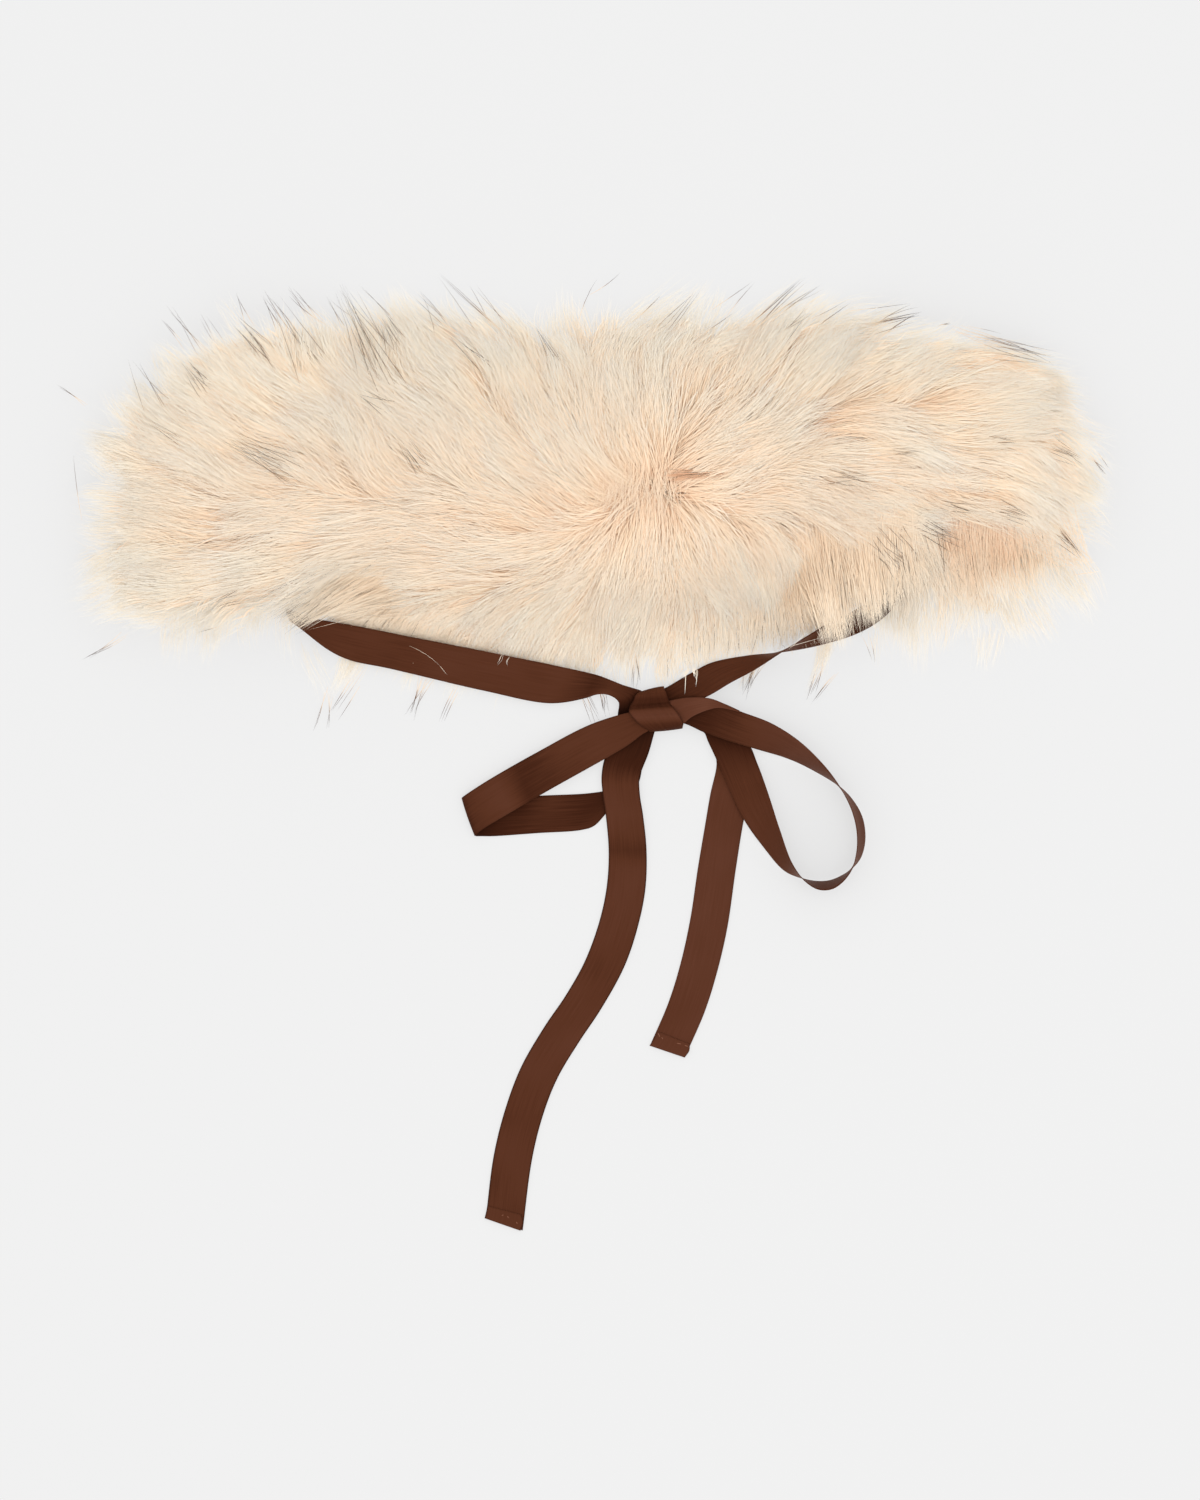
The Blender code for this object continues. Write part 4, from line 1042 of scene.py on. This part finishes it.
# The satin's colour with painted light and shade, read from the lie map and the painted sheen bands.
satin_and_painted_light = add_node(tree, "ShaderNodeValToRGB", {"Fac": lying.outputs["Value"]})
fill_ramp(satin_and_painted_light.color_ramp, SATIN_COLOUR_AND_PAINTED_LIGHT)
across_it = add_node(tree, "ShaderNodeSeparateXYZ", {"Vector": strip_map.outputs["UV"]})
off_middle = add_node(tree, "ShaderNodeMath", {0: across_it.outputs["X"], 1: RIBBON_WIDTH / 2 * MM},
                      operation="SUBTRACT")
from_middle = add_node(tree, "ShaderNodeMath", {0: off_middle.outputs["Value"]}, operation="ABSOLUTE")
selvedge = add_node(tree, "ShaderNodeMapRange", {"Value": from_middle.outputs["Value"],
                                                 "From Min": SELVEDGE[0] * MM, "From Max": SELVEDGE[1] * MM,
                                                 "To Max": 0.8})
bordered = add_node(tree, "ShaderNodeMix", {"Factor": selvedge.outputs["Result"], "A": satin_and_painted_light.outputs["Color"],
                                            "B": linear(SATIN_SELVEDGE)}, data_type="RGBA")
relief = add_node(tree, "ShaderNodeBump", {"Height": floats.outputs["Fac"], "Strength": 0.25,
                                           "Distance": 0.1 * MM})
fill_inputs(tree, shader, {"Base Color": bordered.outputs["Result"], "Normal": relief.outputs["Normal"],
                           "Roughness": 0.48, "IOR": 1.54, "Specular IOR Level": 0.01,
                           "Specular Tint": linear("C98A68"), "Anisotropic": 0.5, "Sheen Weight": 0.2,
                           "Sheen Roughness": 0.4, "Sheen Tint": linear("9A6244")})

# %% [markdown]
# ## Ribbon routes
# Each stretch of ribbon is given by its two selvedges, as the solids' own tables have them, and the ends that
# go into the knot run on inside it. The plan width is under 20 mm where the ribbon leans or stands on edge.

# %% Ribbon routes: the selvedges a and b, in millimetres
TIE_LEFT = [  # ax, ay, az, bx, by, bz
    (-158, 78, 20.4, -155.5, 71, 17.6), (-152.5, 75.5, 19.6, -149.8, 67, 14.2),
    (-142, 72.2, 17.5, -137, 57, 9.3), (-124, 69, 14.8, -125, 51, 6.8), (-99, 64, 13.0, -104, 46.5, 5.9),
    (-50, 54.5, 10.8, -55, 35, 4.5), (-15.5, 47.5, 9.4, -21, 28.5, 3.8), (4, 43, 9.0, -3, 31, 3.8),
    (11, 40.4, 8.8, 3.5, 33, 5.2), (17, 38, 8.4, 8.5, 33, 6.4), (23, 36.2, 7.8, 12.8, 31.2, 7.0),
    (27.5, 34.6, 6.8, 15, 28.8, 6.6), (28.5, 32, 4.6, 15.0, 26, 4.8), (27.5, 28, 2.6, 14.4, 22.4, 3.0),
    (26.5, 24, 2.0, 15.0, 18.0, 2.2),
]
TIE_RIGHT = [
    (34, 34.0, 5.0, 41, 24.2, 4.0), (40.5, 37.2, 6.0, 49, 27.2, 6.0), (52.5, 44.2, 6.2, 61.4, 32.2, 10.0),
    (63.4, 49.6, 6.4, 72.8, 39, 14.0), (80.6, 53, 6.2, 85.3, 45.8, 17.5), (99.3, 55, 3.0, 101, 56, 21.5),
    (120.6, 59, 3.5, 120.6, 68, 20.8), (139.4, 65, 6.0, 135.2, 75.5, 20.0),
    (153, 73.5, 12.0, 148.7, 84.5, 20.2), (163, 86, 17.0, 157.5, 98, 20.0),
]
LOOP_LEFT = [
    (27, 24.5, 7.0, 33.5, 16.0, 6.4), (19.3, 23.5, 7.2, 27.0, 12.2, 6.4), (2, 18.2, 6.6, 18.5, 5.9, 5.4),
    (-27.6, 3, 5.6, -21, -16.5, 4.4), (-50.5, -10, 5.0, -40, -27.5, 4.0),
    (-62.5, -17.6, 4.4, -55.5, -36.8, 3.8), (-65.6, -19.8, 4.1, -58.8, -39.4, 4.0),
    (-66.6, -20.7, 2.7, -59.8, -40.3, 2.7), (-65.7, -20.9, 1.4, -58.9, -40.6, 1.4),
    (-63.0, -20.8, 0.9, -56.4, -40.6, 0.9), (-52, -20.6, 0.7, -50, -40.6, 0.7),
    (-23, -19.4, 0.7, -27, -39, 0.7), (0, -18.2, 0.7, -4.5, -37.4, 0.7), (8.5, -16.6, 0.7, 2.5, -35.0, 0.7),
    (13.5, -11.5, 0.7, 10.5, -26.5, 0.7), (17.5, -2, 0.7, 24.5, -14.5, 0.7), (22, 6, 0.8, 28, -0.5, 0.8),
    (27.5, 12, 1.2, 32, 8, 1.2),
]
LOOP_RIGHT = [
    (40, 29.0, 7.2, 41, 18.5, 6.0), (47.4, 29.8, 7.8, 48.6, 18, 6.2), (62, 30.8, 9.5, 59, 13.5, 5.4),
    (77.5, 24.4, 12.0, 72, 9, 5.2), (94, 18, 14.2, 87.5, 4.4, 4.0), (108, 9, 17.0, 101.5, 0.3, 1.9),
    (119.5, -2, 19.2, 113.5, -5, 1.2), (129, -14.4, 20.4, 130, -15, 1.2),
    (134.7, -25, 20.2, 137.8, -23.5, 1.2), (137.6, -34.5, 19.8, 142, -32.3, 1.2),
    (138.4, -43.6, 19.8, 143, -42.8, 1.2), (137.6, -50.8, 20.2, 140.8, -51.6, 1.2),
    (135.8, -57, 20.5, 136.2, -57.4, 1.2), (131.6, -63.2, 20.3, 130.6, -61.2, 1.2),
    (125.6, -67.6, 20.0, 124.6, -63.6, 1.2), (118.4, -68, 20.0, 118, -64, 1.2),
    (111.2, -63.6, 20.2, 110.6, -62.6, 1.2), (104.6, -54.5, 18.6, 101.2, -58.6, 1.2),
    (98.4, -37.5, 15.8, 90.5, -46.6, 2.2), (92.8, -19.6, 10.4, 79, -30.2, 2.6),
    (87, -3, 5.0, 67.2, -4, 2.6), (81.5, 9, 3.4, 61.6, 8.0, 2.6), (70, 18.4, 3.2, 58.4, 15.0, 2.8),
    (55, 24, 3.4, 50.5, 20.5, 3.0),
]
TAIL_LEFT = [
    (24, 20, 3.2, 36, 20.5, 3.6), (16.5, 15.5, 3.2, 33.8, 14.3, 3.6), (11.5, 8.2, 3.0, 30.4, 2.4, 2.8),
    (7.4, -0.8, 2.6, 26.8, -6.6, 2.5), (6.0, -9.4, 2.4, 25.6, -11.4, 2.4),
    (6.6, -18.6, 2.3, 26.0, -19.6, 2.3), (8.2, -29.8, 2.3, 27.6, -29.8, 2.3),
    (9.7, -47.8, 1.4, 29.4, -48, 1.4), (8.8, -66, 0.7, 28.8, -68, 0.7), (5, -84.5, 0.7, 24.8, -88, 0.7),
    (-2.4, -105, 0.7, 17.6, -109, 0.7), (-12.5, -123.2, 0.7, 5.8, -130.4, 0.7),
    (-23.9, -140, 0.7, -5.8, -147.8, 0.7), (-36, -161, 0.7, -17, -166.6, 0.7),
    (-44.2, -183, 0.7, -24.6, -186.2, 0.7), (-50, -206.4, 0.7, -30.2, -209, 0.7),
    (-54.2, -239.4, 0.7, -35, -245.6, 0.7),
]
TAIL_RIGHT = [
    (48, 23.0, 1.6, 50, 27, 1.6), (52.5, 19.5, 1.6, 57, 23.5, 1.6), (59.5, 13.0, 0.8, 67, 16.5, 0.8),
    (64, 4.4, 0.7, 78, 8.6, 0.7), (65.8, -3.4, 0.7, 83.8, -4, 0.7), (62.6, -18.6, 0.7, 82.2, -20.2, 0.7),
    (59.8, -35, 0.7, 79, -37.4, 0.7), (56.2, -56.4, 0.7, 75.6, -59.2, 0.7),
    (52, -84.4, 0.7, 71.4, -88.2, 0.7), (46.8, -107.8, 0.7, 66, -111.6, 0.7),
    (40.6, -127.6, 0.7, 59.6, -132, 0.7), (31.2, -149.4, 0.7, 49.4, -155.4, 0.7),
]
HEM_LEFT = [  # the turned-up end of each tail lies on it
    (-53.4, -232.8, 1.15, -35.6, -237.4, 1.15), (-54.0, -236.0, 1.15, -34.7, -241.6, 1.15),
    (-54.8, -239.2, 1.1, -36.2, -245.7, 1.1),
]
HEM_RIGHT = [
    (35.4, -142.2, 1.15, 51.9, -148.6, 1.15), (33.2, -146.0, 1.15, 51.6, -152.2, 1.15),
    (30.9, -149.5, 1.1, 49.2, -155.7, 1.1),
]
LOOP_FOLD = [  # the right loop's upper border, folded over as it leaves the knot: the fold, then the selvedge
    (38.5, 29.2, 7.6, 46, 16.8, 7.6), (44, 30.4, 8.6, 48.9, 18.2, 8.8), (50.5, 31.4, 9.6, 53.3, 21.6, 9.6),
    (62, 31, 10.4, 62, 25.2, 10.6), (70, 28.0, 11.6, 67.9, 26.0, 11.8),
    (77.5, 24.5, 13.0, 77.3, 24.0, 13.1),
]
KNOT_WRAP = [  # up its near side, over the top, and down its far side
    (31, 13.8, 4.5, 48, 15.5, 4.0), (30.1, 14.5, 6.8, 48.2, 16.6, 6.5), (26.5, 16.8, 8.4, 48.4, 18.4, 9.0),
    (23, 20.3, 9.0, 46.5, 21.8, 10.6), (20.3, 23.7, 8.6, 44.2, 25.0, 10.4),
    (20.5, 26.5, 7.6, 41.8, 28.2, 9.0), (22.3, 29.5, 9.0, 40.8, 30.2, 10.0),
    (23.6, 32.4, 9.6, 39.6, 33.6, 10.2), (26, 34.3, 7.5, 38.4, 36.9, 8.2),
    (28.5, 34.6, 4.5, 38.4, 37.2, 4.0),
]

# %% [markdown]
# ## Making a strip of satin
# A ribbon could be a curve with a flat bevel, but that can't be cupped, creased or gathered. So the strip is a
# grid of points between its selvedges: cupped a little, with soft creases pressed in where the table says,
# and then given its thickness. Its map is in metres along and across, for the weave.

# %% Satin strips
SATIN_WALL = 0.36
STRIP_STEP = 2.0
STRIP_COLUMNS = 14
CUP = 0.35  # how far the middle of a ribbon stands off the line between its selvedges


def smooth_rows(rows, step):
    """Points on a smooth curve through the rows, about one step apart."""
    def pick(i):
        return rows[min(max(i, 0), len(rows) - 1)]

    def gap_of(p, q):
        return max(1e-3, math.dist(p, q)) ** 0.5

    def tangent(i):
        before, here, after = pick(i - 1), pick(i), pick(i + 1)
        gap_in, gap_out = gap_of(before, here), gap_of(here, after)
        if before == here or here == after:
            return [(a - b) / (gap_in if before != here else gap_out) for a, b in zip(after, before)]
        return [(h - b) / gap_in - (a - b) / (gap_in + gap_out) + (a - h) / gap_out
                for b, h, a in zip(before, here, after)]

    points = []
    for i in range(len(rows) - 1):
        start, end = pick(i), pick(i + 1)
        gap = gap_of(start, end)
        t0, t1 = tangent(i), tangent(i + 1)
        parts = max(1, round(max(math.dist(start[:3], end[:3]), math.dist(start[3:], end[3:])) / step))
        for k in range(parts):
            s = k / parts
            h = (2 * s**3 - 3 * s**2 + 1, s**3 - 2 * s**2 + s, -2 * s**3 + 3 * s**2, s**3 - s**2)
            points.append([h[0] * p + h[1] * gap * m + h[2] * q + h[3] * gap * n
                           for p, m, q, n in zip(start, t0, end, t1)])
    points.append(list(rows[-1]))
    return np.array(points)


def distance_along(line):
    """How far each point of a line is from its start, along the line."""
    return np.concatenate([[0], np.cumsum(np.linalg.norm(np.diff(line, axis=0), axis=1))])


def add_map(piece, name, values):
    """A map of a piece, from one pair of values for each of its points."""
    index = np.zeros(len(piece.data.loops), np.int32)
    piece.data.loops.foreach_get("vertex_index", index)
    piece.data.uv_layers.new(name=name).data.foreach_set("uv", values[index].astype(np.float32).ravel())


def shell(name, sheet_points, lies):
    """A grid of points as a thin closed shell of satin, with its map in metres along and across, and how light
    or dark the satin lies in each row."""
    rows, columns = sheet_points.shape[:2]
    down = np.gradient(sheet_points, axis=0)
    over = np.gradient(sheet_points, axis=1)
    normal = unit(np.cross(over, down))
    upper = sheet_points + normal * SATIN_WALL / 2
    lower = sheet_points - normal * SATIN_WALL / 2
    count = rows * columns
    points = np.concatenate([upper.reshape(-1, 3), lower.reshape(-1, 3)])
    faces = []
    for r in range(rows - 1):
        for c in range(columns - 1):
            a = r * columns + c
            faces.append((a, a + 1, a + columns + 1, a + columns))
            faces.append((count + a, count + a + columns, count + a + columns + 1, count + a + 1))
    rim = list(range(columns)) + [r * columns + columns - 1 for r in range(1, rows)]
    rim += [(rows - 1) * columns + c for c in range(columns - 2, -1, -1)]
    rim += [r * columns for r in range(rows - 2, 0, -1)]
    for a, b in zip(rim, rim[1:] + rim[:1]):
        faces.append((b, a, count + a, count + b))
    piece = add_mesh(name, points, faces, satin)
    travelled = distance_along(sheet_points[:, columns // 2])
    width = np.linalg.norm(sheet_points[:, -1] - sheet_points[:, 0], axis=1).mean()
    across = np.tile(RIBBON_WIDTH / 2 + np.linspace(-0.5, 0.5, columns) * width, rows)
    along = np.repeat(travelled, columns)
    add_map(piece, "weave", np.stack([np.tile(across, 2), np.tile(along, 2)], axis=-1) * MM)
    row_lies = np.interp(travelled / travelled[-1], [share for share, _ in lies], [lie for _, lie in lies])
    tones = np.tile(np.repeat(row_lies, columns), 2)
    add_map(piece, "lie", np.stack([tones, np.zeros_like(tones)], axis=-1))
    return piece, float(travelled[-1])


def satin_strip(name, rows, lies, creases=(), step=STRIP_STEP):
    """A strip between two selvedges, and its length. lies are (place along as a share, how light the satin
    looks there). A crease is (place along as a share, place across from -1 to 1, half length, half width,
    depth, slant), the last four in millimetres."""
    sections = smooth_rows(rows, step)
    across = np.linspace(-1, 1, STRIP_COLUMNS)
    a, b = sections[:, None, :3], sections[:, None, 3:]
    sheet_points = a + (b - a) * ((across + 1) / 2)[None, :, None]
    down = np.gradient(sheet_points, axis=0)
    normal = unit(np.cross(b - a, down))
    normal *= np.sign(normal[len(sections) // 8, 0, 2])  # up, near the strip's start
    travelled = distance_along(sheet_points[:, STRIP_COLUMNS // 2])
    push = np.tile(CUP * (1 - across**2), (len(sections), 1))
    for place, side, half_length, half_width, depth, slant in creases:
        s = travelled[:, None] - place * travelled[-1]
        v = (across - side)[None, :] * RIBBON_WIDTH / 2 - slant * s / max(half_length, 1e-6)
        push = push + depth * np.exp(-((s / half_length) ** 2) - (v / half_width) ** 2)
    sheet_points = sheet_points + normal * push[..., None]
    return shell(name, sheet_points, lies)


STRIPS = {
    "tie_left": (TIE_LEFT, [(0.86, 0.3, 14, 4, -0.8, 3), (0.55, -0.2, 40, 5, 0.4, -4),
                            (0.25, 0.2, 25, 4, -0.4, 4)]),
    "tie_right": (TIE_RIGHT, [(0.18, 0.0, 14, 4, -0.7, 3)]),
    "loop_left": (LOOP_LEFT, [(0.07, 0.1, 16, 4, 0.7, -4), (0.22, -0.2, 22, 5, -0.5, 4),
                              (0.34, 0.2, 14, 4, 0.4, 5)]),
    "loop_right": (LOOP_RIGHT, [(0.07, -0.2, 16, 4, -0.6, 3)]),
    "tail_left": (TAIL_LEFT, [(0.13, 0.0, 5, 9, 0.6, 4), (0.30, 0.0, 10, 8, 0.5, 0),
                              (0.42, 0.2, 16, 7, 0.6, 6), (0.7, -0.2, 30, 6, 0.3, 5)]),
    "tail_right": (TAIL_RIGHT, [(0.35, 0.1, 30, 6, 0.3, 4)]),
}
LIES = {  # satin looks lighter or darker with every turn towards the light and in every shade
    "tie_left": [(0, 0.45), (0.3, 0.5), (0.52, 0.56), (0.74, 0.54), (0.83, 0.34), (0.88, 0.5),
                 (0.93, 0.32), (1, -0.2)],
    "tie_right": [(0, 0.3), (0.15, 0.4), (0.4, 0.5), (0.6, 0.4), (0.8, 0.25), (1, 0.2)],
    "loop_left": [(0, 0.5), (0.12, 0.55), (0.24, 0.45), (0.33, 0.34), (0.385, 0.6), (0.44, 0.5),
                  (0.47, 0.42), (0.5, 0.16), (0.56, 0.28), (0.68, 0.38), (0.8, 0.3), (0.88, 0.15),
                  (1, 0.1)],
    "loop_right": [(0, 0.2), (0.05, 0.24), (0.12, 0.36), (0.18, 0.6), (0.25, 0.85), (0.33, 0.65),
                   (0.42, 0.52), (0.6, 0.5), (0.76, 0.55), (0.84, 0.42), (0.92, 0.18), (1, 0.05)],
    "tail_left": [(0, 0.1), (0.06, 0.2), (0.1, 0.26), (0.135, 0.5), (0.19, 0.62), (0.225, 0.56),
                  (0.258, 0.42), (0.29, 0.58), (0.36, 0.62), (0.5, 0.5), (0.62, 0.6), (0.8, 0.48),
                  (1, 0.5)],
    "tail_right": [(0, 0.05), (0.12, 0.1), (0.19, 0.3), (0.28, 0.66), (0.6, 0.7), (0.85, 0.64), (1, 0.6)],
}
# The last item of each is its painted light and shade along the strip.
EXTRAS = {"loop_right": ("loop_fold", LOOP_FOLD, [(0, 0.7), (0.5, 0.85), (1, 0.6)]),
          "tail_left": ("hem_left", HEM_LEFT, [(0, 0.55), (1, 0.6)]),
          "tail_right": ("hem_right", HEM_RIGHT, [(0, 0.65), (1, 0.7)])}
for name, (rows, creases) in STRIPS.items():
    piece, length = satin_strip(f"satin_{name}", rows, LIES[name], creases)
    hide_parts(name)
    if name in EXTRAS:
        extra, extra_rows, extra_lies = EXTRAS[name]
        satin_strip(f"satin_{extra}", extra_rows, extra_lies, step=1.0)[0]
    print(piece.name, "is", round(length), "mm long")

# %% [markdown]
# ## Stitches
# Each hem is caught down with a few hand stitches of polyester thread, a shade lighter than the satin. A
# stitch is a short spindle, made of rings, that dips into the cloth at both ends.

# %% Stitches
STITCHES = [  # x, y, z, direction in degrees, length
    (-42.6, -238.6, 1.6, -52, 2.0), (-45.4, -237.6, 1.6, 20, 1.6), (-38.0, -241.6, 1.6, -70, 1.4),
    (35.8, -143.9, 1.6, -62, 2.4), (37.6, -145.6, 1.6, -60, 1.4), (46.2, -148.4, 1.6, -12, 3.2),
    (50.0, -149.6, 1.6, -18, 2.0),
]
THREAD = 0.28  # radius
STITCH_RINGS = [(-0.5, 0.3), (-0.3, 0.9), (0.0, 1.0), (0.3, 0.9), (0.5, 0.3)]  # shares of length and radius
STITCH_SIDES = 6

thread, tree, shader = start_material("polyester_sewing_thread")
fill_inputs(tree, shader, {"Base Color": linear("7A4E3A"), "Roughness": 0.6, "Specular IOR Level": 0.2})
points, faces = [], []
for x, y, z, direction, length in STITCHES:
    ahead = np.array([math.cos(math.radians(direction)), math.sin(math.radians(direction)), 0.0])
    beside = np.array([-ahead[1], ahead[0], 0.0])
    base = len(points)
    for along, thick in STITCH_RINGS:
        middle = np.array([x, y, z]) + ahead * along * length - (0, 0, 0.5 * abs(along))
        for turn in np.arange(STITCH_SIDES) * math.tau / STITCH_SIDES:
            out = beside * math.cos(turn) + np.array([0, 0, math.sin(turn)])
            points.append(middle + out * THREAD * thick)
    for ring in range(len(STITCH_RINGS) - 1):
        near = base + ring * STITCH_SIDES
        for k in range(STITCH_SIDES):
            a, b = near + k, near + (k + 1) % STITCH_SIDES
            faces.append((a, b, b + STITCH_SIDES, a + STITCH_SIDES))
    faces.append(tuple(base + k for k in reversed(range(STITCH_SIDES))))
    faces.append(tuple(len(points) - STITCH_SIDES + k for k in range(STITCH_SIDES)))
add_mesh("hem_stitches", points, faces, thread)
print("stitches:", len(STITCHES))

# %% [markdown]
# ## The knot
# The knot is ribbon too, wrapped once round the others: up the near side, over the top and down behind. It is
# squeezed together, so its width is drawn in and it is creased from rim to rim.

# %% Knot
KNOT_CREASES = [  # along as a share, across, half length, half width, depth, slant
    (0.30, -0.2, 1.0, 16, 0.5, 0), (0.40, 0.3, 0.9, 10, -0.5, 0), (0.56, 0.0, 1.1, 20, -0.9, 0),
    (0.68, 0.4, 0.9, 8, -0.4, 0), (0.76, -0.3, 1.0, 9, 0.35, 0),
]
# Painted light and shade along the wrap.
KNOT_LIES = [(0, 0.3), (0.2, 0.42), (0.34, 0.78), (0.46, 0.62), (0.56, 0.3), (0.68, 0.28), (0.8, 0.45),
             (1, 0.45)]
knot_wrap, knot_length = satin_strip("knot_wrap", KNOT_WRAP, KNOT_LIES, KNOT_CREASES, step=0.5)
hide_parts("knot")
print("the knot's wrap is", round(knot_length), "mm long")
